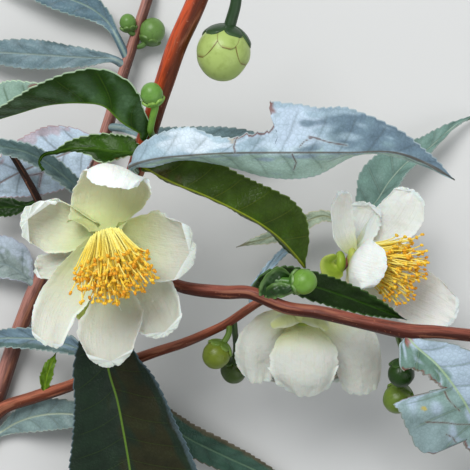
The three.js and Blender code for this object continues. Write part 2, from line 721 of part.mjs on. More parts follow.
for (const [name, bloom] of Object.entries(blooms)) {
  const petal = (shape) =>
    blade({ thickness: PETAL_THICKNESS, steps: 6, ...shape }, PETAL_COLUMNS);
  const sepal = (shape) =>
    blade({ thickness: PETAL_THICKNESS, steps: 4, ...shape }, LEAF_COLUMNS);
  const round = ({ place, radius, axis }, grow = 0) =>
    ball(seen(place), radius + grow, new THREE.Vector3(...axis), 0.5, 8);
  const stem = tube(bloom.pedicel.stem, GAP);
  const whole = join([round(bloom.core), ...bloom.petals.map(petal)]);
  const seat = ball(seen(bloom.tuft.foot), TUFT_RADIUS + GAP, Y_AXIS, 1, 8);
  const petals = cutClear(whole, [seat]).simplify(SHORT_EDGE);
  const tuft = stamens(bloom.tuft, petals);
  const pedicel = tube({ path: bloom.pedicel.path, widths: [1.4, 1.6, 2], sides: 6, steps: 3 });
  const green = join([pedicel, round(bloom.cup), ...bloom.sepals.map(sepal)]);
  addPiece(`${name}_petals`, "petal", petals);
  addPiece(`${name}_stamens`, "stamen", tuft);
  addPiece(`${name}_calyx`, "sepal", cutClear(green, [stem, round(bloom.core, GAP)]));
}

// BUDS

function turned(radius, angle) {
  return new THREE.Vector2(radius * Math.sin(angle), radius * Math.cos(angle));
}

// A round bud under a cap of sepals, on a stalk that grows from a stem.
function bud({ path, radius, width = 1.5, stretch = 1.05, bracts = [] }) {
  const places = path.map(seen);
  const centre = places[places.length - 1];
  const axis = places[places.length - 2].clone().sub(centre).normalize();
  const capEdge = radians(CAP_ANGLE);
  const profile = [];
  for (let k = 0; k <= 3; k += 1) {
    profile.push(turned(radius + SEPAL_THICKNESS, (capEdge * k) / 3));
  }
  profile.push(turned(radius * 0.8, capEdge));
  profile.push(new THREE.Vector2(0, radius * 0.5));
  const cap = new THREE.LatheGeometry(profile, 7)
    .scale(1, stretch, 1)
    .applyQuaternion(turnTo(axis))
    .translate(centre.x, centre.y, centre.z);
  const stalk = tube({ path, widths: [width, width, width * 1.2], sides: 5, steps: 4 });
  const leaflets = bracts.map((shape) =>
    blade({ thickness: PETAL_THICKNESS, steps: 4, ...shape }, LEAF_COLUMNS));
  return join([ball(centre, radius, axis, stretch, 8), solidFrom(cap), stalk, ...leaflets]);
}

const buds = {
  bud_large: { stem: upperStem, width: 2, radius: 4.7, stretch: 1.08,
    path: [
      [-5, 47.7, 4.4], [-2.3, 49.1, 4.5], [-0.2, 46.3, 4], [0.2, 42.3, 3.5], [-0.9, 37.8, 2.5],
      [-2.1, 32.8, 2],
    ] },
  bud_small: { stem: upperStem, width: 1.2, radius: 1.95,
    path: [
      [-14.9, 17.8, -2.4], [-15.2, 19.1, 1], [-14.8, 21.2, 3.2], [-14.4, 23.2, 4.2],
      [-15, 25.4, 4.8],
    ] },
  bud_node: { stem: rightStem, width: 1.5, radius: 2.3,
    path: [
      [4.9, -11.2, -5.5], [5.2, -9.2, -4.5], [7.7, -8.3, -4], [10.3, -8.5, -3.5],
      [12.4, -8.4, -3],
    ],
    bracts: [
      {
        path: [[5, -11, -4.5], [5.9, -9, -3.5], [7.9, -7.2, -3.5], [9.9, -7.7, -4.5]],
        left: [0.8, 1.5, 1.6, 0.6], curl: 50 },
      {
        path: [[5.2, -11, -4.5], [7.2, -10.1, -2.6], [9.5, -9.9, -2.2], [11, -9.2, -2.4]],
        left: [0.8, 1.5, 1.4, 0.6], curl: -40 },
    ] },
  bud_pair_upper: { stem: lowerStem, width: 1.2, radius: 2.6,
    path: [[-1.1, -15.8, -14.7], [-1.1, -17.6, -14.5], [-2.3, -19.8, -14.5], [-3.4, -21.6, -14.5]] },
  bud_pair_lower: { stem: lowerStem, width: 1.2, radius: 2.6,
    path: [[-0.2, -15.3, -14.3], [0, -17.6, -17], [0.2, -20.9, -20.5], [-0.2, -24.3, -22]] },
  bud_right_upper: { stem: rightStem, width: 1.3, radius: 2.45,
    path: [[30.6, -17.3, -2.4], [31, -19.4, -6], [30.4, -22.1, -8.5], [29.9, -25, -9]] },
  bud_right_lower: { stem: rightStem, width: 1.2, radius: 2.7,
    path: [
      [29, -16.9, -2.6], [29.7, -19.3, -8], [31, -22.9, -13], [30.6, -26.8, -14.5],
      [29.2, -29.5, -14],
    ] },
  bud_back_left: { stem: mainStem, width: 1.1, radius: 1.7,
    path: [[-17.6, 36.9, -40.2], [-18.4, 36.2, -39], [-19.1, 36.9, -38.5], [-19.3, 38.3, -38.5]] },
  bud_back_right: { stem: mainStem, width: 1.2, radius: 2.7,
    path: [[-18.7, 34, -39.8], [-16.9, 34, -40], [-15.7, 35.1, -40.5], [-14.9, 36.7, -40.5]] },
};
for (const [name, { stem, ...shape }] of Object.entries(buds)) {
  addPiece(name, "bud", cutClear(bud(shape), [tube(stem, GAP)]));
}

// The branch lies with its lowest leaf tip at z = 0 and its middle over the origin.
const branch = new THREE.Group();
for (const { name, look, solid } of pieces) {
  const { numProp, vertProperties, triVerts } = solid.getMesh();
  const geometry = new THREE.BufferGeometry();
  geometry.setAttribute("position", new THREE.BufferAttribute(vertProperties, numProp));
  geometry.setIndex(new THREE.BufferAttribute(triVerts, 1));
  const mesh = new THREE.Mesh(geometry, new THREE.MeshStandardMaterial(COLOURS[look]));
  mesh.name = name;
  branch.add(mesh);
}
const box = new THREE.Box3().setFromObject(branch);
const middle = box.getCenter(new THREE.Vector3());
branch.position.set(-middle.x, -middle.y, -box.min.z);
branch.updateMatrixWorld(true);
export default branch;
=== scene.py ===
"""A cut branch of a tea plant in flower, lying on a pale floor under soft light.

Places and sizes are in millimetres. X runs right, Y runs up the view and Z runs towards the
viewer, whose eye is straight above. The front bloom lies on the plane z = 0.
"""

import math

import bpy
import numpy as np
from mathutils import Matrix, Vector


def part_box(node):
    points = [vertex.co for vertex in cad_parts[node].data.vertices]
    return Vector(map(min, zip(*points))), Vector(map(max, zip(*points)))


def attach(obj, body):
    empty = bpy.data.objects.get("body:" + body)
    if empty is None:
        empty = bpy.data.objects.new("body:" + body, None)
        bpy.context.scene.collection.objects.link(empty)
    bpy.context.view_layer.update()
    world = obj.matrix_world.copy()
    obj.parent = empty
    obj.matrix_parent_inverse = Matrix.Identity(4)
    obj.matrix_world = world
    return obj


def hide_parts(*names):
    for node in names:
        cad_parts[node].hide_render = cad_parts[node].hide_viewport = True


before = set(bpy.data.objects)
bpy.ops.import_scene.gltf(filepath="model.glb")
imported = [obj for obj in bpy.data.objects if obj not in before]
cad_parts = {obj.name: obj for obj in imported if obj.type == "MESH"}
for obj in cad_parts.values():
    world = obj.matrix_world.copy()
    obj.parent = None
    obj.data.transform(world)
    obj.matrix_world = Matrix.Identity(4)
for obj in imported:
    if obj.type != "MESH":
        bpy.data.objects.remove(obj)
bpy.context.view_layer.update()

MM = 0.001
# The viewer's eye above the plane of the front bloom, and how wide that plane is in the view.
EYE_DISTANCE = 235
VIEW_WIDTH = 84.6
SENSOR_WIDTH = 36
LEAF_THICKNESS = 0.36
PETAL_THICKNESS = 0.3
LEAF_STALK_WIDTH = 1.7
TUFT_RADIUS = 1.6
# How far out the stamens stand on the flower, as a share of how far their tips spread.
FOOT_SPREAD = 0.36
FILAMENT_WIDTH = 0.28
ANTHER_LENGTH = 0.92
ANTHER_WIDTH = 0.72
SEPAL_THICKNESS = 0.3
# The angle that the cap of sepals on a bud spans from its stalk, in degrees.
CAP_ANGLE = 62
# A blade is nowhere narrower than this.
LEAST_WIDTH = 0.06
# Fine steps for measuring a path's length and for carrying frames along it.
PATH_STEPS = 600
FRAME_STEPS = 180
# How far to each side of a place its path's direction is taken, as a share of the length.
DIRECTION_STEP = 0.002
# Plane waves that add up to smooth noise.
WAVES = 14
# Added to every bend of a blade, because widths are divided by the bend.
LEAST_BEND = 1e-4
# Edges of a mesh that are sharper than this, in degrees, are shaded as edges.
SHARP_ANGLE = 50

UP = np.array([0.0, 0.0, 1.0])
RIGHT = np.array([1.0, 0.0, 0.0])
Y_AXIS = np.array([0.0, 1.0, 0.0])


# CURVES


def seen(place):
    """A place whose x and y are read on the plane of the front bloom, along the line of sight."""
    x, y, z = place
    spread = (EYE_DISTANCE - z) / EYE_DISTANCE
    return np.array([x * spread, y * spread, z], float)


def unit(vectors):
    """The vectors at a length of 1."""
    return vectors / np.linalg.norm(vectors, axis=-1, keepdims=True)


def square_to(vector, way):
    """The vector without its part along way, at unit length."""
    return unit(vector - way * vector.dot(way))


def beside(axis):
    """A direction square to an axis: up as far as it can be, or right where the axis is upright."""
    return square_to(UP if abs(axis[2]) < 0.9 else RIGHT, axis)


def smooth(value, low, high):
    """0 below low, 1 above high and an even rise between them."""
    t = np.clip((value - low) / (high - low), 0, 1)
    return t * t * (3 - 2 * t)


def along(values, s):
    """The values at shares s, from 0 to 1, on a smooth curve through evenly spaced values."""
    s = np.asarray(s, float)
    if np.ndim(values) == 0:
        return np.full_like(s, values)
    values = np.asarray(values, float)
    last = len(values) - 1
    i = np.minimum((s * last).astype(int), last - 1)
    t = s * last - i
    a, b, c, d = (values[np.clip(i + k, 0, last)] for k in (-1, 0, 1, 2))
    return b + 0.5 * t * (c - a + t * (2 * a - 5 * b + 4 * c - d + t * (3 * (b - c) + d - a)))


def flat(a, b):
    """Points on a flat grid, for noise over two values."""
    return np.stack([a, b, 0 * a], -1)


def ripple(points, wavelength, seed):
    """Smooth noise of about -1 to 1 at points, from plane waves in fixed directions."""
    rng = np.random.default_rng(seed)
    ways = unit(rng.normal(size=(WAVES, 3))) * rng.uniform(0.7, 1.5, (WAVES, 1))
    phases = rng.uniform(0, 2 * math.pi, WAVES)
    turns = np.asarray(points) @ ways.T * (2 * math.pi / wavelength)
    return np.sin(turns + phases).sum(-1) / WAVES**0.5


class Path:
    """A smooth curve through places, walked by shares of its length from 0 to 1."""

    def __init__(self, places):
        points = np.array([seen(place) for place in places])
        before, after = 2 * points[0] - points[1], 2 * points[-1] - points[-2]
        self.knots = np.vstack([before, points, after])
        self.fine = np.array([self.at(t) for t in np.linspace(0, 1, PATH_STEPS + 1)])
        steps = np.linalg.norm(np.diff(self.fine, axis=0), axis=1)
        self.reached = np.concatenate([[0], np.cumsum(steps)])
        self.length = self.reached[-1]

    def at(self, t):
        """A point of the centripetal curve piece between the two middle ones of four knots."""
        spans = len(self.knots) - 3
        i = min(int(t * spans), spans - 1)
        t = t * spans - i
        p0, p1, p2, p3 = self.knots[i : i + 4]
        d0, d1, d2 = (np.linalg.norm(b - a) ** 0.5 for a, b in ((p0, p1), (p1, p2), (p2, p3)))
        m1 = d1 * ((p1 - p0) / d0 - (p2 - p0) / (d0 + d1) + (p2 - p1) / d1)
        m2 = d1 * ((p2 - p1) / d1 - (p3 - p1) / (d1 + d2) + (p3 - p2) / d2)
        bend = 3 * (p2 - p1) - 2 * m1 - m2 + t * (2 * (p1 - p2) + m1 + m2)
        return p1 + t * (m1 + t * bend)

    def places(self, shares):
        """The places at shares of the length."""
        wanted = np.clip(shares, 0, 1) * self.length
        return np.stack([np.interp(wanted, self.reached, axis) for axis in self.fine.T], -1)

    def ways(self, shares):
        """The directions in which the path runs at shares of the length."""
        shares = np.clip(shares, DIRECTION_STEP, 1 - DIRECTION_STEP)
        ahead, behind = self.places(shares + DIRECTION_STEP), self.places(shares - DIRECTION_STEP)
        return unit(ahead - behind)


class Frames:
    """Cross-section frames at shares s of a path: place, way, up and left.

    Up looks at the viewer at the share `start`, is carried along from there without a twist, and
    is then rolled about the path by the given degrees.
    """

    def __init__(self, places, s, roll=0, start=0.0):
        path = Path(places)
        self.length = path.length
        fine = np.linspace(0, 1, FRAME_STEPS + 1)
        ways = path.ways(fine)
        faces = np.zeros_like(ways)
        first = round(start * FRAME_STEPS)
        faces[first] = square_to(UP, ways[first])
        for k in range(first + 1, FRAME_STEPS + 1):
            faces[k] = square_to(faces[k - 1], ways[k])
        for k in range(first - 1, -1, -1):
            faces[k] = square_to(faces[k + 1], ways[k])
        self.place = path.places(s)
        self.way = path.ways(s)
        face = np.stack([np.interp(s, fine, axis) for axis in faces.T], -1)
        face = unit(face - self.way * (face * self.way).sum(-1, keepdims=True))
        angle = np.radians(along(roll, s))[:, None]
        self.up = face * np.cos(angle) + np.cross(self.way, face) * np.sin(angle)
        self.left = np.cross(self.up, self.way)


# MESHES

# A blade is thinner at its margin than in its middle by this share, and at its tip by half.
MARGIN_THINNING = 0.6
# Within this share of the width from the middle, the tilt of a blade's halves fades out.
MIDDLE_SHARE = 0.08
# Between these shares of a stalk's length it widens into the blade.
STALK_START = 0.7
STALK_END = 1.3
# A face's columns span this share of half a turn round the stalk, so that the faces' rims stay
# apart.
STALK_SPAN = 0.96
# How far a ball's first and last ring are from its poles, in radians.
POLE_GAP = 0.04


class Body:
    """Points, faces and values per point that make up one mesh."""

    def __init__(self):
        self.points = []
        self.faces = []
        self.values = []
        self.count = 0

    def skin(self, rings, **values):
        """A closed skin over rings of points, joined each to the next and capped at both ends.

        A value is one number or colour for all points, or one for each point of the rings.
        """
        rows, size = rings.shape[:2]
        points = np.vstack([rings.reshape(-1, 3), rings[0].mean(0), rings[-1].mean(0)])
        i = np.arange(size)
        j = np.roll(i, -1)
        first = np.arange(rows - 1)[:, None] * size
        quads = np.stack([first + i, first + j, first + j + size, first + i + size], -1)
        quads = quads.reshape(-1, 4)
        last = (rows - 1) * size
        start = np.stack([np.full(size, rows * size), j, i], -1)
        end = np.stack([np.full(size, rows * size + 1), last + i, last + j], -1)
        if volume_under(points, quads, start, end) < 0:
            quads, start, end = quads[:, ::-1], start[:, ::-1], end[:, ::-1]
        self.points.append(points)
        self.faces += [part + self.count for part in (quads, start, end)]
        self.count += len(points)
        self.values.append({name: spread_over(rings, name, value) for name, value in values.items()})

    def value(self, name):
        """A value of all points, 0 where a part has none."""
        parts = zip(self.points, self.values)
        return np.concatenate([values.get(name, np.zeros(len(points))) for points, values in parts])


def volume_under(points, *faces):
    """Six times the volume inside the faces, negative where they look inwards."""
    total = 0.0
    for part in faces:
        a, b, c = (points[part[:, k]] for k in range(3))
        total += (a * np.cross(b, c)).sum()
        if part.shape[1] == 4:
            d = points[part[:, 3]]
            total += (a * np.cross(c, d)).sum()
    return total


def spread_over(rings, name, value):
    """One value for each point of the rings and for their two caps."""
    value = np.asarray(value, float)
    shape = rings.shape[:2] + ((3,) if name == "tint" else ())
    value = np.broadcast_to(value, shape)
    flat = value.reshape((-1,) + shape[2:])
    return np.concatenate([flat, value[0].mean(0)[None], value[-1].mean(0)[None]])


def tube(body, places, widths, tint, sides=16, rows=40, skin=None, values=None):
    """A round stalk. skin(at, s, angle) gives how far its skin stands proud of the round.

    The tint is a colour, or tint(s, out) gives it for shares s and directions out.
    """
    s = np.linspace(0, 1, rows + 1)
    at = Frames(places, s)
    angle = np.linspace(0, 2 * math.pi, sides, endpoint=False)[None, :]
    out = at.left[:, None] * np.cos(angle)[..., None] + at.up[:, None] * np.sin(angle)[..., None]
    radius = along(widths, s)[:, None] / 2 + (skin(at, s[:, None], angle) if skin else 0 * angle)
    rings = at.place[:, None] + out * radius[..., None]
    marks = values(at, s[:, None], angle) if values else {}
    body.skin(rings, tint=tint(s[:, None], out) if callable(tint) else tint, **marks)


def ways_round(axis, polar, turn, stretch=1.0):
    """Directions at polar angles from an axis and turns round it, drawn out along it."""
    side = beside(axis)
    other = np.cross(axis, side)
    return (axis * (np.cos(polar) * stretch)[..., None]
            + side * (np.sin(polar) * np.cos(turn))[..., None]
            + other * (np.sin(polar) * np.sin(turn))[..., None])


def ball(body, centre, radius, tint, axis=Y_AXIS, stretch=1.0, detail=24, skin=None):
    """A ball drawn out along an axis. skin(ways) gives how far it swells, as a share."""
    polar = np.linspace(POLE_GAP, math.pi - POLE_GAP, detail // 2 + 1)[:, None]
    turn = np.linspace(0, 2 * math.pi, detail, endpoint=False)[None, :]
    ways = ways_round(unit(np.asarray(axis, float)), polar, turn, stretch)
    rings = centre + ways * radius * (1 + (skin(ways)[..., None] if skin else 0))
    body.skin(rings, tint=tint)


def bent(width, start, bend, reach):
    """How far out and how far up a blade's half gets, which bends evenly to its margin."""
    out = width * (np.sin(start + bend * reach) - np.sin(start)) / bend
    up = width * (np.cos(start) - np.cos(start + bend * reach)) / bend
    return out, up


def both_faces(value):
    """Values for a blade's upper face and, from right to left, for its lower one."""
    return np.concatenate([value, value[:, ::-1]], 1)


def halves(shape, left_name, right_name, t, q):
    """A blade's values on its two halves. The right half repeats the left where it has none."""
    left = shape.get(left_name, 0)
    right = shape.get(right_name, left)
    return np.where(q >= 0, along(left, t), along(right, t))


class Surface:
    """The middle surface of a blade, at shares t from its stalk to its tip and q across it.

    q runs from 1 at the left margin to -1 at the right one. left and right are the widths of the
    two halves, evenly spaced from the stalk's end to the tip. Fold is the angle by which a half
    rises from the middle towards the upper face, and curl the further angle on the way to its
    margin. cut(t, q, width) takes millimetres off, and relief(t, q) lifts the surface.
    """

    def __init__(self, shape, t, q, relief, cut):
        self.side = np.where(q >= 0, 1, -1)
        self.width = np.maximum(halves(shape, "left", "right", t, q), LEAST_WIDTH)
        self.reach = np.abs(q) - (cut(t, q, self.width) / self.width if cut else 0)
        margin = np.where(q >= 0, self.reach[:, :1], self.reach[:, -1:])
        self.rim = (margin - self.reach) * self.width
        self.q = self.side * self.reach
        start = np.radians(halves(shape, "fold", "fold_right", t, q))
        bend = np.radians(halves(shape, "curl", "curl_right", t, q)) + LEAST_BEND
        self.tilt = (start + bend * self.reach) * smooth(np.abs(self.q), 0, MIDDLE_SHARE)
        out, up = bent(self.width, start, bend, self.reach)
        lift = relief(t, self.q) if relief else 0
        self.across = self.side * (out - np.sin(self.tilt) * lift)
        self.rise = up + np.cos(self.tilt) * lift


def blade(body, shape, rows, columns, thickness, tint, relief=None, cut=None, values=None,
          slide=None):
    """A thin blade along a path, which starts as a round stalk.

    A slant draws a half's margin along the path by that share of its width, and
    slide(t, q, width) moves points along the path. values and tint are also given each place's
    distance from the rim, in millimetres.
    """
    stalk = shape.get("stalk", 0)
    s = np.linspace(0, 1, rows + 1)
    at = Frames(shape["path"], s, shape.get("roll", 0), 0.5 if stalk else 0.0)
    s = s[:, None]
    q = np.linspace(1, -1, 2 * columns + 1) * np.ones_like(s)
    t = np.clip((s - stalk) / (1 - stalk), 0, 1) * np.ones_like(q)
    surface = Surface(shape, t, q, relief, cut)
    flat_share = smooth(s, STALK_START * stalk, STALK_END * stalk) if stalk else np.ones_like(s)
    slant = halves(shape, "slant", "slant_right", t, q) * surface.width * surface.reach * flat_share
    if slide:
        slant = slant + slide(t, surface.q, surface.width)
    depth = thickness / 2 * (1 - MARGIN_THINNING * np.abs(surface.q)) * np.where(t < 1, 1, 0.5)
    turn = math.pi * (1 - STALK_SPAN * q) / 2
    round_part = (1 - flat_share) * shape.get("stalk_width", LEAF_STALK_WIDTH) / 2
    sheets = []
    for face in (1, -1):
        out = surface.across - surface.side * face * depth * np.sin(surface.tilt)
        up = surface.rise + face * depth * np.cos(surface.tilt)
        out = flat_share * out + round_part * np.cos(turn)
        up = flat_share * up + round_part * face * np.sin(turn)
        sheets.append(at.place[:, None] + at.left[:, None] * out[..., None]
                      + at.up[:, None] * up[..., None] + at.way[:, None] * slant[..., None])
    rings = np.concatenate([sheets[0], sheets[1][:, ::-1]], 1)
    under = np.concatenate([np.zeros_like(t), np.ones_like(t)], 1)
    marks = values(t, surface.q, surface.width, surface.rim) if values else {}
    marks = {name: both_faces(value) for name, value in marks.items()}
    shades = tint(both_faces(t), both_faces(surface.q), under, both_faces(surface.rim))
    body.skin(rings, tint=shades, under=under, **marks)


def make(name, body, looks, node):
    """Makes the Blender object of a body, which stands for a CAD node."""
    mesh = bpy.data.meshes.new(name)
    points = (np.vstack(body.points) + shift) * MM
    faces = [face for part in body.faces for face in part.tolist()]
    mesh.from_pydata(points.tolist(), [], faces)
    tint = mesh.attributes.new("tint", "FLOAT_COLOR", "POINT")
    tint.data.foreach_set("color", np.insert(body.value("tint"), 3, 1, axis=1).ravel())
    for value_name in sorted(set().union(*body.values) - {"tint"}):
        attribute = mesh.attributes.new(value_name, "FLOAT", "POINT")
        attribute.data.foreach_set("value", body.value(value_name))
    mesh.shade_smooth()
    mesh.set_sharp_from_angle(angle=math.radians(SHARP_ANGLE))
    mesh.materials.append(looks)
    piece = bpy.data.objects.new(name, mesh)
    bpy.context.scene.collection.objects.link(piece)
    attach(piece, "root")
    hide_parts(node)


# MATERIALS


def colour(red, green, blue):
    """A colour given as it shows, from 0 to 255, as light values."""
    shown = np.array([red, green, blue]) / 255
    return np.where(shown <= 0.04045, shown / 12.92, ((shown + 0.055) / 1.055) ** 2.4)


# How strongly a noise's finer waves show.
NOISE_ROUGHNESS = 0.55


class Look:
    """A procedural material: its shader's own settings and the nodes that vary its colour."""

    def __init__(self, name, **settings):
        self.material = bpy.data.materials.new(name)
        self.material.use_nodes = True
        self.tree = self.material.node_tree
        self.shader = self.tree.nodes["Principled BSDF"]
        for socket, value in settings.items():
            self.shader.inputs[socket.replace("_", " ")].default_value = value

    def node(self, kind, inputs=(), **settings):
        """A new node with its inputs, each a number, a colour or another node's output."""
        node = self.tree.nodes.new(kind)
        for key, value in settings.items():
            setattr(node, key, value)
        for socket, value in dict(inputs).items():
            self.feed(node.inputs[socket], value)
        return node

    def feed(self, socket, value):
        """Links an output to an input, or sets the input's own value."""
        if isinstance(value, bpy.types.NodeSocket):
            self.tree.links.new(value, socket)
        elif np.ndim(value) == 1 and len(value) == 3 and socket.type == "RGBA":
            socket.default_value = (*value, 1)
        else:
            socket.default_value = value

    def value(self, name):
        """One of the mesh's own values."""
        return self.node("ShaderNodeAttribute", attribute_name=name).outputs["Fac"]

    def tint(self):
        """The mesh's own colours."""
        return self.node("ShaderNodeAttribute", attribute_name="tint").outputs["Color"]

    def places(self):
        return self.node("ShaderNodeTexCoord").outputs["Object"]

    def noise(self, size, detail):
        """Noise whose features are about `size` millimetres wide."""
        inputs = {"Vector": self.places(), "Scale": 1 / (size * MM), "Detail": detail,
                  "Roughness": NOISE_ROUGHNESS}
        return self.node("ShaderNodeTexNoise", inputs).outputs["Fac"]

    def streaks(self, names, scales, detail=3):
        """Noise over up to three of the mesh's own values, drawn out along small scales."""
        place = self.node("ShaderNodeCombineXYZ", {axis: self.value(name)
                                                   for axis, name in zip("XYZ", names)})
        stretched = self.node("ShaderNodeMapping", {"Vector": place.outputs[0], "Scale": scales})
        inputs = {"Vector": stretched.outputs[0], "Scale": 1.0, "Detail": detail}
        return self.node("ShaderNodeTexNoise", inputs).outputs["Fac"]

    def cells(self, size):
        """How far a place is from the borders of cells of about `size` millimetres, in cells."""
        inputs = {"Vector": self.places(), "Scale": 1 / (size * MM)}
        cell = self.node("ShaderNodeTexVoronoi", inputs, feature="DISTANCE_TO_EDGE")
        return cell.outputs["Distance"]

    def math(self, operation, a, b=0.0):
        return self.node("ShaderNodeMath", {0: a, 1: b}, operation=operation).outputs[0]

    def rise(self, value, low, high, bottom=0.0, top=1.0):
        """A smooth rise from bottom to top while the value goes from low to high."""
        inputs = {"Value": value, "From Min": low, "From Max": high, "To Min": bottom,
                  "To Max": top}
        node = self.node("ShaderNodeMapRange", inputs, interpolation_type="SMOOTHSTEP")
        return node.outputs["Result"]

    def mix(self, share, a, b, blend="MIX"):
        """Colour a with a share of colour b."""
        node = self.node("ShaderNodeMix", data_type="RGBA", blend_type=blend)
        for socket, value in ((0, share), (6, a), (7, b)):
            self.feed(node.inputs[socket], value)
        return node.outputs[2]

    def bump(self, height, depth, before=None):
        """Relief of the given depth in millimetres."""
        inputs = {"Height": height, "Distance": depth * MM, "Strength": 1.0}
        if before is not None:
            inputs["Normal"] = before
        return self.node("ShaderNodeBump", inputs).outputs["Normal"]

    def finish(self, base, normal, roughness=None):
        """Hands the colour, the relief and the roughness to the shader."""
        self.feed(self.shader.inputs["Base Color"], base)
        self.feed(self.shader.inputs["Normal"], normal)
        if roughness is not None:
            self.feed(self.shader.inputs["Roughness"], roughness)
        return self.material


# PLACE IN THE FRAME

MAIN_STEM = {
  "path": [
    [-46.8, -40.5, -42.2], [-42.3, -27.5, -41.4], [-38.3, -15.7, -40.8], [-35.5, -8.8, -40.4],
    [-31.5, -1.8, -39.6], [-25.7, 9.9, -38.8], [-23.4, 18, -38.6], [-19.6, 30.6, -39.4],
    [-15.8, 42.3, -41], [-14.4, 46.6, -43],
  ],
  "widths": [3.7, 3.6, 3.4, 3.1, 2.9, 2.6, 2.4, 2.2, 2.1],
}
UPPER_STEM = {
  "path": [
    [-32.2, -4.9, -39.8], [-27.9, -2, -32], [-23.6, 1.3, -24], [-20.3, 6.3, -15.5],
    [-17.6, 12.6, -8], [-15.5, 18.9, -3], [-12.8, 27.2, 0], [-10.2, 34.7, 2.5], [-6.8, 42.3, 4],
    [-4.5, 49.1, 4.5],
  ],
  "widths": [3, 3, 3.1, 3.3, 3.5, 3.5, 3.7, 3.9],
}
RIGHT_STEM = {
  "path": [
    [-22.1, 3.4, -19.5], [-20, -0.5, -17.5], [-16, -5.9, -13], [-9.9, -9.2, -10],
    [-2, -10.3, -7], [2.7, -10.4, -6], [9.4, -13.1, -4.5], [15.1, -13.9, -3.5],
    [24.3, -16, -2.5], [31, -17.3, -2], [36.9, -17.5, -1.5], [45.9, -18.4, -1],
  ],
  "widths": [2, 1.9, 2, 2.3, 2.6, 2.4, 2.5, 2.5, 2.9, 2.3, 2.3],
}
LOWER_STEM = {
  "path": [
    [-44.5, -34, -41.6], [-41.4, -31, -39], [-36, -29.2, -36], [-29.9, -27.2, -32],
    [-23.4, -24.5, -28], [-17.1, -22, -24], [-9, -19.3, -19], [-2, -16.2, -15],
    [4.1, -12.2, -13.5], [9, -9.9, -17], [15.3, -8.3, -24], [20.2, -4.9, -30.5],
    [22.1, 0.5, -34.5],
  ],
  "widths": [2.7, 2.6, 2.3, 2.1, 1.9, 1.6, 1.5, 1.4, 1.3],
}
BACK_TWIG = {
  "path": [
    [-32.2, -2.7, -39.6], [-34, 1.8, -37], [-35.5, 6.3, -34.5], [-37.4, 9.9, -33.6],
    [-39.4, 13.3, -33.6], [-41, 16, -34.2],
  ],
  "widths": [1.9, 1.7, 1.5, 1.3],
}
# How many sides and rows the frame's own main stem has.
SOLID_SIDES = 10
SOLID_ROWS = 18


def frame_shift():
    """How far the frame's branch is moved from the plane of the front bloom, in millimetres."""
    body = Body()
    tube(body, MAIN_STEM["path"], MAIN_STEM["widths"], 0, SOLID_SIDES, SOLID_ROWS)
    low = np.vstack(body.points).min(0)
    return np.array(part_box("main_stem")[0]) / MM - low


shift = frame_shift()


# Nothing nearer to the camera than this is drawn, in metres.
CLIP_START = 0.01


def camera():
    """The eye straight above the plane of the front bloom, as in the view."""
    lens = bpy.data.cameras.new("camera")
    lens.sensor_width = SENSOR_WIDTH
    lens.lens = SENSOR_WIDTH * EYE_DISTANCE / VIEW_WIDTH
    lens.clip_start = CLIP_START
    eye = bpy.data.objects.new("camera", lens)
    eye.location = (shift + (0, 0, EYE_DISTANCE)) * MM
    bpy.context.scene.collection.objects.link(eye)
    bpy.context.scene.camera = eye


camera()


# STEMS

BARK_TAN = colour(170, 112, 84)
BARK_DARK = colour(48, 20, 12)
CUT_WOOD = colour(214, 196, 150)
# How high the bark's ridges and swellings stand, in millimetres.
RIDGE_HEIGHT = 0.035
SWELLING_HEIGHT = 0.04
STEM_SIDES = 36
STEM_ROWS = 320
# Each stem's colour on its lit side and on its shaded side, as they show from 0 to 255, and where
# its lit side looks. The lit side's colour is partly the redder bark that grew towards the sun and
# partly a painted highlight; the other side's colour is painted shade.
STEMS = {
    "main_stem": (MAIN_STEM, (172, 120, 108), (96, 60, 50), (-1, 0.2, 0.8)),
    "upper_stem": (UPPER_STEM, (192, 76, 36), (92, 40, 14), (-1, 0.1, 0.5)),
    "right_stem": (RIGHT_STEM, (138, 74, 58), (64, 22, 8), (0, 1, 0.5)),
    "lower_stem": (LOWER_STEM, (184, 108, 82), (94, 42, 20), (0, 1, 0.6)),
    "back_twig": (BACK_TWIG, (76, 48, 36), (38, 24, 18), (0, 1, 0.4)),
}


def bark_look():
    """Fibrous bark: fine streaks along the growth, some tan and some dark, and tan specks."""
    look = Look("bark", Specular_IOR_Level=0.22, Coat_Weight=0.04, Coat_Roughness=0.3)
    ways = ("east", "north", "run")
    broad = look.streaks(ways, (1.3, 1.3, 0.1), detail=4)
    fine = look.streaks(ways, (5, 5, 0.25), detail=4)
    base = look.mix(look.rise(broad, 0.54, 0.66, 0, 0.5), look.tint(), BARK_TAN)
    base = look.mix(look.rise(broad, 0.48, 0.34, 0, 0.5), base, BARK_DARK)
    base = look.mix(look.rise(fine, 0.5, 0.4, 0, 0.36), base, BARK_DARK)
    specks = look.noise(0.5, detail=2)
    base = look.mix(look.rise(specks, 0.66, 0.72, 0, 0.5), base, BARK_TAN)
    normal = look.bump(fine, 0.16)
    return look.finish(base, normal, look.rise(broad, 0.35, 0.7, 0.34, 0.56))


def bark_relief(seed):
    """Ridges that run along the stem, and shallow swellings."""
    def relief(at, s, angle):
        run = s * at.length
        places = np.stack(np.broadcast_arrays(2.2 * np.cos(angle), 2.2 * np.sin(angle), run / 9), -1)
        swell = np.stack(np.broadcast_arrays(np.cos(angle), np.sin(angle), run / 5), -1)
        ridges = RIDGE_HEIGHT * ripple(places, 1.4, seed)
        return ridges + SWELLING_HEIGHT * ripple(swell, 2.5, seed + 1)
    return relief


def bark_values(at, s, angle):
    """Where a place lies round the stem, and how many millimetres along it."""
    run = s * at.length + 0 * angle
    return {"east": np.cos(angle) + 0 * run, "north": np.sin(angle) + 0 * run, "run": run}


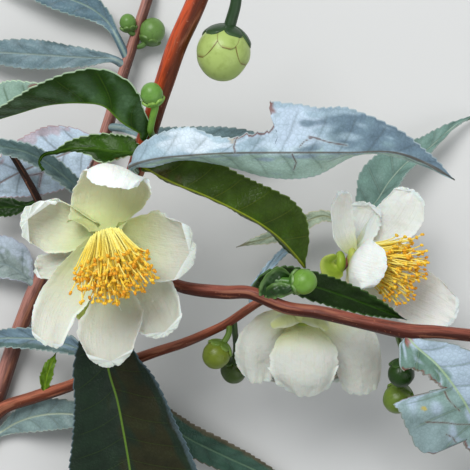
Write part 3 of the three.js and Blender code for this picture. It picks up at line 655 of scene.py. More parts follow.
def bark_tint(light, shade, toward):
    """Redder bark and painted highlight towards `toward`, painted shade away, pale wood at cuts."""
    toward = unit(np.array(toward, float))

    def tint(s, out):
        # Painted highlight and shade: the tone turns from shade to light as the skin faces the lit
        # side.
        skin = shade + (light - shade) * smooth(out @ toward, 0.12, 1)[..., None]
        return np.where(((s == 0) | (s == 1))[..., None], CUT_WOOD, skin)
    return tint


def stem(name, number, course, lit_tone, shaded_tone, toward):
    """A stem with its bark."""
    body = Body()
    tint = bark_tint(colour(*lit_tone), colour(*shaded_tone), toward)
    tube(body, course["path"], course["widths"], tint, STEM_SIDES, STEM_ROWS,
         bark_relief(10 * number), bark_values)
    make(name + "_bark", body, bark, name)


bark = bark_look()
for number, (name, details) in enumerate(STEMS.items()):
    stem(name, number, *details)


# LEAVES

LEAVES = {
  "leaf_arched": {
    "path": [
      [-15.7, 17.1, -4], [-17.1, 18.4, -1], [-20.3, 20.5, 1], [-23.6, 23.4, 2], [-27.9, 24, 2],
      [-33.7, 23.6, 0], [-39.4, 22, -4], [-44.8, 20.3, -9], [-49.5, 18.4, -14], [-53.5, 16, -18],
    ],
    "stalk": 0.05,
    "roll": [82, 85, 83, 75, 66, 60, 57, 55, 50, 50],
    "left": [2.4, 5.9, 7.2, 6.5, 5.5, 4.7, 4.4, 3.8, 2.4, 0],
    "right": [1.5, 3, 4.2, 4, 4.9, 6.6, 7, 5.4, 2.8, 0],
    "fold": [67, 70, 68, 55, 46, 40, 37, 35, 30, 30],
  },
  "leaf_hooked": {
    "path": [
      [-16, 15.7, -5], [-17.3, 14.9, -2], [-20.7, 14.9, -3], [-25.2, 15.5, -4.5],
      [-29.3, 15.5, -5], [-32.2, 14.9, -4], [-34.4, 14.4, -3], [-35.3, 13, -2],
      [-34.6, 11.5, -2],
    ],
    "stalk": 0.06,
    "roll": 180,
    "left": [1.3, 3, 3.4, 3.3, 2.8, 1.9, 0.6, 0.35, 0.2],
    "right": [0.8, 0.6, 1.5, 2.6, 1.3, 0.6, 0.5, 0.35, 0.2],
    "fold": 8,
  },
  "leaf_long": {
    "path": [
      [-17.8, 11.5, -8], [-18.5, 12.4, -3.4], [-17.3, 13, -0.4], [-13.5, 13.8, 1.5],
      [-8.1, 14.3, 2.5], [-0.9, 14.7, 3], [9.9, 14.8, 3], [20.7, 14.8, 2], [28.8, 14.8, 0.5],
      [34.6, 12.8, -1.5], [39.6, 9.9, -4],
    ],
    "stalk": 0.07,
    "left": [0.6, 3.2, 4.8, 5.2, 3.3, 3.5, 8.9, 8.9, 8.2, 8.3, 6.8, 4.6, 2.7, 1.5, 0],
    "right": [0.6, 3, 5, 6, 6.6, 7.4, 8, 8, 7.8, 7.4, 6, 4, 2.4, 1.2, 0],
    "fold": 2,
    "fold_right": [-60, -85, -75, -58, -60, -92, -90, -60],
  },
  "leaf_olive": {
    "path": [
      [-17.5, 13, -8], [-14.9, 11.3, -6], [-10.8, 9.2, -5.5], [-7, 7.7, -5.5], [-2.7, 5.8, -6],
      [4, 2.3, -7], [7.7, -0.4, -9], [10.4, -3.2, -11], [12.6, -5.9, -13],
    ],
    "stalk": 0.07,
    "roll": 180,
    "left": [0.8, 2, 3, 3.6, 3.8, 3.8, 3.6, 3.2, 2.6, 1.6, 0],
    "right": [2.6, 5.4, 6.6, 6.8, 6.6, 6.6, 6.9, 7.3, 6.8, 4.2, 0],
    "fold": 86,
    "fold_right": 4,
  },
  "leaf_left_narrow": {
    "path": [
      [-25.6, 10.3, -38.8], [-27.2, 7.7, -35], [-29.7, 9.7, -32], [-33.3, 12.6, -30],
      [-37.3, 14.8, -29], [-42.3, 16, -29], [-46.8, 16.7, -31], [-51.3, 16.7, -35],
    ],
    "stalk": 0.08,
    "left": [1, 1.8, 2.1, 2.1, 1.9, 1.6, 1, 0],
    "fold": 12,
  },
  "leaf_pale_broad": {
    "path": [
      [-23.4, 18.4, -38.6], [-25, 16.9, -37.5], [-27.9, 15.7, -37], [-33.3, 13.5, -37],
      [-38.7, 11.3, -37.3], [-44.1, 8.3, -38.5], [-46.6, 6.5, -40.5],
    ],
    "stalk": 0.08,
    "left": [1.5, 5, 6.8, 6.8, 6, 4.3, 2, 0],
    "fold": 6,
  },
  "leaf_low_left": {
    "path": [
      [-24.3, -25, -28.6], [-26.5, -21.6, -31], [-29.3, -20, -32], [-34.2, -18.9, -33],
      [-39.6, -18.5, -34], [-45, -18.9, -36], [-49.9, -20, -39],
    ],
    "stalk": 0.1,
    "left": [1, 2, 2.4, 2.4, 2, 1.2, 0],
    "fold": 12,
  },
  "leaf_hanging": {
    "path": [
      [-18, -3.4, -15], [-20, -8.1, -17], [-22.9, -15.7, -19], [-22.9, -23.4, -20],
      [-21.2, -29.7, -21], [-20, -35.8, -23], [-18.9, -42.3, -26], [-17.6, -51.3, -31],
      [-16.6, -62.1, -37], [-15.7, -71.1, -42.8],
    ],
    "stalk": 0.12,
    "left": [1.5, 5, 8.3, 10.6, 13, 14.5, 13.5, 10.5, 5.5, 0],
    "right": [1.5, 5.5, 8, 10, 12.2, 13.8, 13, 10, 5, 0],
    "fold": 10,
    "curl": -10,
  },
  "leaf_bitten": {
    "path": [
      [30.6, -17.3, -2], [31.9, -19.3, -1.5], [36.4, -23.4, -2.5], [40.5, -28.8, -5],
      [43, -33.3, -9], [45.9, -39.6, -17], [48.2, -46.8, -28], [49.9, -53.1, -38],
      [50.6, -55.8, -43],
    ],
    "stalk": 0.02,
    "left": [1, 6, 8.8, 9.8, 10, 9.4, 8, 6, 3.4, 0],
    "right": [2, 4.9, 3.6, 3.6, 10.5, 11.4, 12, 11.4, 4.2, 3.8, 5, 6.5, 7.4, 7.4, 7, 6.2, 5.4, 4.4,
      3.2, 1.8, 0],
    "slant_right": [-0.2, -0.3, -0.75, -0.2, -0.1, -0.3, -0.3, -0.3, -0.3],
    "fold": 8,
  },
  "leaf_behind_bud": {
    "path": [
      [3.1, -10.4, -6.4], [4.9, -8.3, -10], [8.1, -7.6, -11], [14.8, -9.4, -12],
      [20.5, -11.3, -13], [25.9, -13.3, -14], [31, -15.3, -15],
    ],
    "stalk": 0.1,
    "left": [1, 2.4, 2.9, 2.9, 2.5, 1.6, 0],
    "fold": 8,
  },
  "leaf_pale_low": {
    "path": [
      [-45.7, -37.6, -41.9], [-42.3, -35.6, -41.9], [-39.1, -33.7, -41], [-34.7, -32.4, -38.4],
      [-29.7, -32.2, -36.5], [-24.7, -33.3, -37], [-19.8, -35.1, -39],
    ],
    "stalk": 0.12,
    "left": [0.8, 2.5, 3.4, 3.5, 2.8, 1.5, 0],
    "fold": 8,
  },
  "leaf_back_left": {
    "path": [
      [-19.8, 30.4, -39.4], [-22.1, 31.7, -38.5], [-26.1, 31.9, -38], [-31.5, 32.2, -38],
      [-37.8, 32.6, -38], [-44.1, 32.9, -39], [-50.4, 32.9, -41.5],
    ],
    "stalk": 0.08,
    "left": [0.8, 2, 2.6, 3.2, 3.2, 2.6, 1.4, 0],
    "fold": 8,
  },
  "leaf_back_right": {
    "path": [
      [21.8, -0.2, -34.2], [23.6, 3.6, -36], [25.7, 6.3, -37], [27.9, 9.7, -38],
      [31.1, 13.1, -38.5], [34.6, 15.3, -39], [37.1, 17.5, -39.5], [39.6, 19.6, -40.5],
      [43, 21.4, -42.5],
    ],
    "stalk": 0.08,
    "left": [1, 4.5, 6.3, 6, 4.4, 3.2, 2.2, 1, 0.4],
    "right": [1, 3, 4, 4, 3, 2, 1.5, 0.9, 0.4],
    "fold_right": 65,
  },
  "leaf_back_low": {
    "path": [
      [-18.7, -22.7, -25], [-17.1, -27, -31], [-14.4, -31.9, -35.5], [-9, -36.2, -38.5],
      [-2.3, -39.6, -40], [3.6, -42.3, -41], [9.9, -45.5, -42], [14.9, -48.6, -43],
    ],
    "stalk": 0.12,
    "left": [1, 2.6, 3.3, 3.4, 2.8, 1.6, 0],
    "fold": 8,
  },
  "leaf_back_top": {
    "path": [
      [-19.4, 31.7, -39.5], [-21.2, 35.5, -38.5], [-22.9, 38.3, -38.5], [-26.1, 40.9, -38.5],
      [-31.5, 43, -38.5], [-37.8, 44.5, -39], [-44.1, 44.8, -41.5],
    ],
    "stalk": 0.16,
    "left": [0.8, 2, 3, 3.4, 3, 2, 1, 0],
    "fold": 10,
  },
  "leaf_behind_long": {
    "path": [
      [-22.9, 19.4, -38.6], [-20.7, 19.3, -37], [-17.1, 18.5, -36], [-10.8, 17.6, -35],
      [-3.6, 17.5, -35], [2.7, 17.3, -36], [9.5, 16.4, -38],
    ],
    "stalk": 0.1,
    "left": [0.8, 1.6, 2.3, 2.5, 2.3, 1.4, 0],
    "fold": 6,
  },
  "leaf_strip": {
    "path": [
      [21.6, -2.5, -32.6], [19.4, 1.3, -33.6], [16.4, 3.4, -34.5], [11.7, 2, -34.5],
      [6.3, -0.4, -34.5], [2.7, -1.4, -34.5], [0.2, -2.2, -35],
    ],
    "stalk": 0.16,
    "left": [0.5, 1.2, 1.7, 1.8, 1.6, 0.9, 0],
    "fold": 8,
  },
  "leaf_left_low": {
    "path": [
      [-35.8, -9.4, -40.4], [-37.6, -7.6, -39], [-40.5, -5.6, -38.2], [-44.5, -4.9, -38.2],
      [-49.5, -5.2, -40.5],
    ],
    "stalk": 0.1,
    "left": [0.8, 2.4, 3.2, 3, 1.8, 0],
    "right": [1, 4.5, 6, 5.5, 3, 0],
    "fold": 6,
  },
  "leaf_young": {
    "path": [
      [-34, -29, -34.7], [-34.2, -27.4, -33.8], [-33.7, -24.7, -33.4], [-32.2, -21.1, -33.4],
    ],
    "stalk": 0.15,
    "stalk_width": 0.9,
    "left": [0.6, 1.3, 1.5, 1.3, 0.8, 0],
    "fold": 15,
  },
  "leaf_dark_left": {
    "path": [[-35.5, 6.1, -34.6], [-38.3, 5.2, -35.4], [-42.3, 4.9, -36], [-46.8, 4.1, -38]],
    "stalk": 0.15,
    "stalk_width": 1.1,
    "left": [0.6, 1.8, 2.1, 1.6, 0],
    "fold": 8,
  },
  "leaf_edge_on": {
    "path": [
      [3.1, -13, -13.6], [3.1, -9.7, -15.5], [4.9, -7.2, -18], [7.7, -4.1, -20],
      [10.3, -1.6, -22], [11.7, 0.5, -23],
    ],
    "stalk": 0.2,
    "stalk_width": 1.2,
    "left": [0.5, 0.8, 0.9, 0.8, 0],
    "fold": 10,
  },
}

# How fine a leaf's mesh is along it and across, in millimetres, and the rows and columns that
# every leaf has besides.
ROW_SPACING = 0.36
COLUMN_SPACING = 0.58
MORE_ROWS = 30
MORE_COLUMNS = 6
# A cracked leaf's mesh is finer, so that the cracks are thin lines.
CRACKED_SHARE = 0.72
TOOTH_SPACING = 1.5
TOOTH_DEPTH = 0.34
SIDE_VEIN_SPACING = 5.2
FEWEST_VEINS = 4
# How far the skin swells between the side veins, how deep the midrib lies and how high the
# rim waves.
VEIN_SWELL = 0.11
RIB_DEPTH = 0.16
RIM_WAVE = 0.3
# How ragged the edges of a bite are, across the leaf and along it, and how far along the
# leaf its ends reach, as a share of the length.
RAGGED_DEPTH = 0.16
JAG_DEPTH = 0.28
BITE_END = 0.012
CRACK_BROWN = colour(92, 56, 44)
# Stands in for the distance from a crack, in millimetres, before the nearest is looked for.
NO_CRACK = 9
# A leaf's colours as they show, from 0 to 255: its upper face, lower face, midrib and rim. The
# bluish and whitish upper faces are a painted sheen, the sky reflected in the glossy face over its
# dark green, and the pale rim is partly a painted highlight where the margin catches the light.
# The last number is how strongly its side veins stand out.
LEAF_TONES = {
    "leaf_arched": ((136, 162, 148), (30, 60, 2), (80, 114, 24), (190, 216, 180), 0.8),
    "leaf_hooked": ((36, 66, 2), (30, 58, 2), (58, 90, 18), (186, 210, 168), 0.3),
    "leaf_long": ((156, 178, 192), (62, 92, 54), (98, 92, 80), (170, 186, 190), 0.4),
    "leaf_olive": ((80, 110, 60), (46, 66, 0), (132, 144, 34), (104, 126, 60), 0.4),
    "leaf_left_narrow": ((94, 118, 120), (60, 90, 60), (126, 150, 140), (184, 202, 198), 0.6),
    "leaf_pale_broad": ((194, 212, 230), (110, 130, 110), (140, 126, 124), (176, 140, 140), 0.7),
    "leaf_low_left": ((108, 130, 144), (36, 62, 30), (140, 160, 150), (146, 164, 158), 0.8),
    "leaf_hanging": ((30, 44, 32), (30, 50, 20), (98, 130, 46), (84, 104, 112), 0.3),
    "leaf_bitten": ((172, 190, 206), (70, 96, 60), (166, 190, 150), (140, 150, 140), 0.7),
    "leaf_behind_bud": ((22, 42, 6), (30, 56, 14), (44, 74, 20), (72, 104, 52), 0.3),
    "leaf_pale_low": ((122, 142, 142), (80, 104, 70), (170, 182, 160), (156, 168, 156), 0.6),
    "leaf_back_left": ((112, 134, 142), (70, 96, 70), (140, 156, 150), (130, 146, 140), 0.5),
    "leaf_back_right": ((112, 140, 132), (80, 106, 76), (176, 192, 176), (150, 166, 160), 0.6),
    "leaf_back_low": ((56, 84, 72), (44, 70, 34), (96, 122, 100), (110, 100, 84), 0.6),
    "leaf_back_top": ((92, 116, 128), (60, 86, 56), (140, 160, 150), (150, 170, 160), 0.6),
    "leaf_behind_long": ((108, 130, 136), (70, 96, 70), (130, 146, 140), (130, 146, 140), 0.6),
    "leaf_strip": ((176, 190, 168), (110, 126, 90), (176, 180, 146), (206, 200, 170), 0.4),
    "leaf_left_low": ((138, 152, 150), (50, 70, 50), (130, 146, 146), (164, 168, 184), 0.7),
    "leaf_young": ((78, 108, 20), (66, 96, 14), (126, 156, 44), (110, 140, 44), 0.6),
    "leaf_dark_left": ((26, 52, 12), (26, 50, 12), (50, 80, 28), (66, 96, 44), 0.4),
    "leaf_edge_on": ((146, 170, 186), (90, 110, 96), (170, 188, 196), (170, 188, 196), 0.4),
}
# Patches of another colour: how far along the leaf and how far out they lie, from 1 at the left
# margin to -1 at the right, their reach in both ways, their colour and their strength. Some are
# painted sheen or painted light, as marked; the others are the leaf's own colour.
LEAF_PATCHES = {
    "leaf_arched": [(0.43, -0.75, 0.07, 0.32, (128, 84, 74), 0.9),
                    (0.2, -0.3, 0.2, 0.6, (50, 84, 16), 0.5)],
    "leaf_hooked": [(0.2, -0.9, 0.08, 0.2, (150, 104, 50), 0.7),
                    (0.3, 0.4, 0.4, 0.5, (62, 96, 24), 0.5)],
    # Painted light on the lower half, two painted sheens, darker where they fade, a tear and a notch.
    "leaf_long": [(0.5, -0.6, 0.55, 0.7, (176, 206, 192), 0.95),
                  (0.22, 0.5, 0.1, 0.5, (216, 228, 238), 0.75),
                  (0.48, 0.5, 0.12, 0.6, (198, 214, 232), 0.7),
                  (0.82, 0.5, 0.26, 1, (90, 112, 128), 0.85),
                  (0.33, 0.9, 0.015, 0.25, (178, 164, 140), 0.8),
                  (0.456, 0.95, 0.014, 0.2, (126, 76, 62), 0.9)],
    # A brown foot, a painted sheen in the middle and a green end.
    "leaf_olive": [(0.1, 0.2, 0.12, 0.5, (60, 46, 6), 0.6),
                   (0.45, 0.5, 0.2, 0.4, (76, 94, 36), 0.6),
                   (0.85, 0.3, 0.25, 0.9, (46, 72, 4), 0.6)],
    # Painted light along the lit left margin.
    "leaf_left_narrow": [(0.5, 0.8, 0.6, 0.3, (136, 158, 154), 0.6)],
    "leaf_pale_broad": [(0.4, -0.9, 0.3, 0.25, (188, 162, 170), 0.7),
                        (0.6, 0.3, 0.3, 0.5, (150, 166, 176), 0.5)],
    "leaf_low_left": [(0.5, 0.7, 0.6, 0.35, (52, 78, 40), 0.6)],
    # A brownish half and a painted sheen along the left margin.
    "leaf_hanging": [(0.45, 0.45, 0.6, 0.5, (46, 42, 22), 0.8),
                     (0.4, 0.97, 0.5, 0.07, (84, 100, 108), 0.6)],
    "leaf_bitten": [(0.22, -0.2, 0.26, 0.26, (104, 138, 114), 0.7),
                    (0.08, -0.6, 0.1, 0.7, (88, 120, 100), 0.9),
                    (0.3, -0.7, 0.12, 0.5, (132, 156, 152), 0.8),
                    (0, 0, 0.02, 0.5, (150, 76, 66), 0.8),
                    (0.25, -0.62, 0.009, 0.045, (186, 164, 40), 0.9)],
    # A painted sheen, bluish white, on the right half.
    "leaf_left_low": [(0.5, -0.8, 0.8, 0.45, (186, 198, 214), 0.8)],
    "leaf_back_low": [(0.5, 0.9, 0.5, 0.25, (104, 84, 62), 0.6)],
    "leaf_strip": [(0.95, 0, 0.1, 1, (112, 84, 60), 0.8)],
}
# Bites: the side, 1 left and -1 right, where each starts and ends along the leaf, how wide the
# half is there, and how far the leaf beyond hangs back over it, in millimetres.
BITES = {
    "leaf_long": [(1, 0.345, 0.452, (3.4, 3.6, 3.7, 4.1, 5.2), 1.3)],
    "leaf_bitten": [(-1, 0.06, 0.182, (3.8, 2.9, 2.1), 0), (-1, 0.365, 0.45, (3.8, 4.1, 3.8), 0)],
}
BITE_BROWN = colour(112, 62, 50)
# Fine cracks, by how far along and how far out each of their corners lies.
LEAF_CRACKS = {
    "leaf_long": [[(0.54, 0.35), (0.58, 0.27), (0.6, 0.22), (0.65, 0.16)],
                  [(0.515, 0.12), (0.53, 0.24), (0.555, 0.33), (0.575, 0.3)],
                  [(0.345, 0.95), (0.338, 0.6), (0.33, 0.35), (0.335, 0.05)],
                  [(0.495, -0.03), (0.51, -0.3), (0.505, -0.55)]],
    "leaf_pale_broad": [[(0.3, 0.1), (0.45, 0.3), (0.5, 0.7)], [(0.45, 0.3), (0.6, 0.2)]],
    "leaf_bitten": [[(0.19, -0.24), (0.22, -0.26), (0.25, -0.22), (0.27, -0.17)],
                    [(0.29, -0.85), (0.3, -0.5), (0.325, -0.1)],
                    [(0.33, -0.6), (0.345, -0.52), (0.37, -0.5)]],
}


def leaf_look(name, tones, cracked):
    """A leaf's skin: veins in its midrib's colour, a fine net, mottling and a coloured rim."""
    upper, lower, rib, rim = (colour(*tone) for tone in tones[:4])
    veins, mottle_and_glint = tones[4], 0.3 * (upper + lower) / 2
    look = Look(name, Specular_IOR_Level=0.15, Coat_Weight=0.03, Coat_Roughness=0.25)
    base = look.tint()
    mottle = look.noise(3.5, detail=5)
    base = look.mix(look.rise(mottle, 0.5, 0.7, 0, 0.5), base, colour(190, 196, 190), "MULTIPLY")
    base = look.mix(look.rise(mottle, 0.5, 0.3, 0, 0.8), base, mottle_and_glint, "ADD")
    net = look.cells(0.8)
    base = look.mix(look.rise(net, 0.02, 0.16, 0.35, 0), base, colour(214, 216, 210), "MULTIPLY")
    offset = look.math("ABSOLUTE", look.math("SUBTRACT", look.math("FRACT", look.value("vein")), 0.5))
    inside = look.rise(look.value("edge"), 0.7, 0.95, 1, 0)
    # Painted shade in the sunk side veins.
    painted_vein_shade = look.math("MULTIPLY", look.rise(offset, 0.01, 0.1, 0.8 * veins, 0), inside)
    base = look.mix(painted_vein_shade, base, colour(168, 176, 172), "MULTIPLY")
    # Painted highlight on the swells between the side veins.
    swell = look.math("MULTIPLY", look.rise(offset, 0.1, 0.4, 0, 0.8 * veins), inside)
    base = look.mix(swell, base, mottle_and_glint, "ADD")
    lateral = look.math("MULTIPLY", look.rise(offset, 0.008, 0.03, 0.3 * veins, 0), inside)
    base = look.mix(lateral, base, rib)
    narrow = look.rise(look.value("edge"), 0.16, 0.4, 0.85, 0)
    middle = look.math("MULTIPLY", look.rise(look.value("reach"), 0.1, 0.3, 1, 0), narrow)
    base = look.mix(middle, base, rib)
    # The paler rim: partly the margin's own colour, partly a painted highlight where it catches light.
    base = look.mix(look.rise(look.value("rim"), 0.12, 0.26, 0.75, 0), base, rim)
    if cracked:
        crack = look.value("crack")
        base = look.mix(look.rise(crack, 0.2, 0.5, 0.35, 0), base, rim)
        base = look.mix(look.rise(crack, 0.06, 0.22, 0.7, 0), base, CRACK_BROWN)
    fine = look.bump(look.noise(0.3, detail=3), 0.03)
    normal = look.bump(look.rise(net, 0, 0.3), 0.035, fine)
    return look.finish(base, normal, look.rise(mottle, 0.3, 0.7, 0.3, 0.46))


def crack_distance(cracks, along_leaf, out, length, width):
    """How many millimetres each place on a leaf is from the nearest crack."""
    nearest = np.full(out.shape, float(NO_CRACK))
    for crack in cracks:
        corners = [(t * length, q * np.interp(t * length, along_leaf[:, 0], width[:, 0]))
                   for t, q in crack]
        for (x0, y0), (x1, y1) in zip(corners, corners[1:]):
            dx, dy = x1 - x0, y1 - y0
            share = np.clip(((along_leaf - x0) * dx + (out - y0) * dy) / (dx * dx + dy * dy), 0, 1)
            away = np.hypot(along_leaf - x0 - share * dx, out - y0 - share * dy)
            nearest = np.minimum(nearest, away)
    return nearest


def leaf_values(name, length, veins):
    """The values that the leaf's skin is drawn from."""
    def values(t, q, width, rim):
        reach = np.abs(q)
        marks = {"vein": vein_phase(t, reach, veins), "edge": reach, "reach": reach * width,
                 "rim": rim + 0.3 * np.maximum(1.2 - width, 0)}
        if name in LEAF_CRACKS:
            marks["crack"] = crack_distance(LEAF_CRACKS[name], t * length, q * width, length, width)
        return marks
    return values


def vein_phase(t, reach, veins):
    """Side veins leave the midrib at a slant and bend forward near the rim."""
    return t * veins - 1.1 * reach + 0.4 * reach**2


def leaf_relief(veins, seed):
    """Side veins and midrib are sunk, the skin between them swells, and the rim waves."""
    def relief(t, q):
        reach = np.abs(q)
        phase = vein_phase(t, reach, veins)
        swell = -VEIN_SWELL * np.cos(2 * math.pi * (phase - 0.5))
        swell = swell * smooth(reach, 0, 0.25) * (1 - reach**3)
        rib = -RIB_DEPTH * np.exp(-((reach / 0.05) ** 2))
        places = flat(5 * t, 1.5 * q)
        wave = RIM_WAVE * ripple(places, 1.6, seed) * smooth(reach, 0.1, 1)
        return (swell + rib + wave) * smooth(t, 0, 0.08)
    return relief


def leaf_cut(name, length, seed):
    """Small forward-pointing teeth along both margins, and ragged bites."""
    count = round(length / TOOTH_SPACING)

    def cut(t, q, width):
        swing = 0.3 * np.sin(2 * math.pi * t * 3 + seed)
        bite = (1 - np.mod(t * count + swing + 0.2 * np.sign(q), 1)) ** 1.4
        teeth = TOOTH_DEPTH * bite * smooth(t, 0.03, 0.12) * smooth(1 - t, 0, 0.04)
        off = np.minimum(teeth, 0.2 * width) * np.abs(q) ** 6
        for side, start, end, widths, _ in BITES.get(name, []):
            left_over = along(widths, np.clip((t - start) / (end - start), 0, 1))
            ragged = RAGGED_DEPTH * ripple(flat(t * length, 0 * t), 0.9, seed)
            inside = (q * side > 0) & (t > start) & (t < end)
            off = off + inside * np.maximum(width - left_over - ragged, 0) * np.abs(q)
        return off
    return cut


def leaf_slide(name):
    """The edges of a bite are ragged, and the margin beyond it hangs back over it."""
    def slide(t, q, width):
        back = 0 * t
        for side, start, end, _, overhang in BITES.get(name, []):
            here = q * side > 0
            near = here * smooth(t, end - 0.004, end) * (1 - smooth(t, end, end + 0.07))
            back = back - overhang * near * np.sin(math.pi * np.clip(np.abs(q) - 0.4, 0, 0.5)) ** 2
            ends = sum(np.exp(-(((t - place) / BITE_END) ** 2)) for place in (start, end))
            jags = ripple(flat(q * width, 0 * t), 1.3, 5)
            back = back + JAG_DEPTH * here * ends * jags
        return back
    return slide


def leaf_tint(name, seed):
    """The colours of the two faces and the patches on them."""
    upper, lower = (colour(*tone) for tone in LEAF_TONES[name][:2])

    def tint(t, q, under, rim):
        shade = upper + (lower - upper) * under[..., None]
        uneven = 0.3 * ripple(flat(14 * t, 4 * q), 1.2, seed)
        for along_leaf, out, length, width, tone, strength in LEAF_PATCHES.get(name, []):
            away = np.hypot((t - along_leaf) / length, (q - out) / width) + uneven
            share = strength * (1 - smooth(away, 0.55, 1.1))
            shade = shade + (colour(*tone) - shade) * share[..., None]
        for side, start, end, _, _ in BITES.get(name, []):
            near = (q * side > 0) & (t > start - BITE_END) & (t < end + BITE_END)
            share = 0.95 * near * (1 - smooth(rim + 0.4 * uneven, 0.25, 0.7))
            shade = shade + (BITE_BROWN - shade) * share[..., None]
        return shade
    return tint


def leaf(name, shape, seed):
    """A leaf's blade and stalk."""
    length = Path(shape["path"]).length * (1 - shape["stalk"])
    widest = max(shape["left"] + shape.get("right", []))
    veins = max(FEWEST_VEINS, round(length / SIDE_VEIN_SPACING))
    cracked = name in LEAF_CRACKS
    fine = CRACKED_SHARE if cracked else 1
    rows = round(length / ROW_SPACING / fine) + MORE_ROWS
    columns = round(widest / COLUMN_SPACING / fine) + MORE_COLUMNS
    body = Body()
    blade(body, shape, rows, columns, LEAF_THICKNESS, leaf_tint(name, seed),
          leaf_relief(veins, seed), leaf_cut(name, length, seed),
          leaf_values(name, length, veins), leaf_slide(name))
    look = leaf_look(name + "_skin", LEAF_TONES[name], cracked)
    make(name + "_blade", body, look, name)


for seed, (name, shape) in enumerate(LEAVES.items()):
    leaf(name, shape, seed)


# BLOOMS


def petal_widths(half):
    """A petal's half width along its length: narrow at its foot and broad towards its round end."""
    return [share * half for share in (0.4, 0.72, 0.92, 1, 1, 0.96, 0.8)]


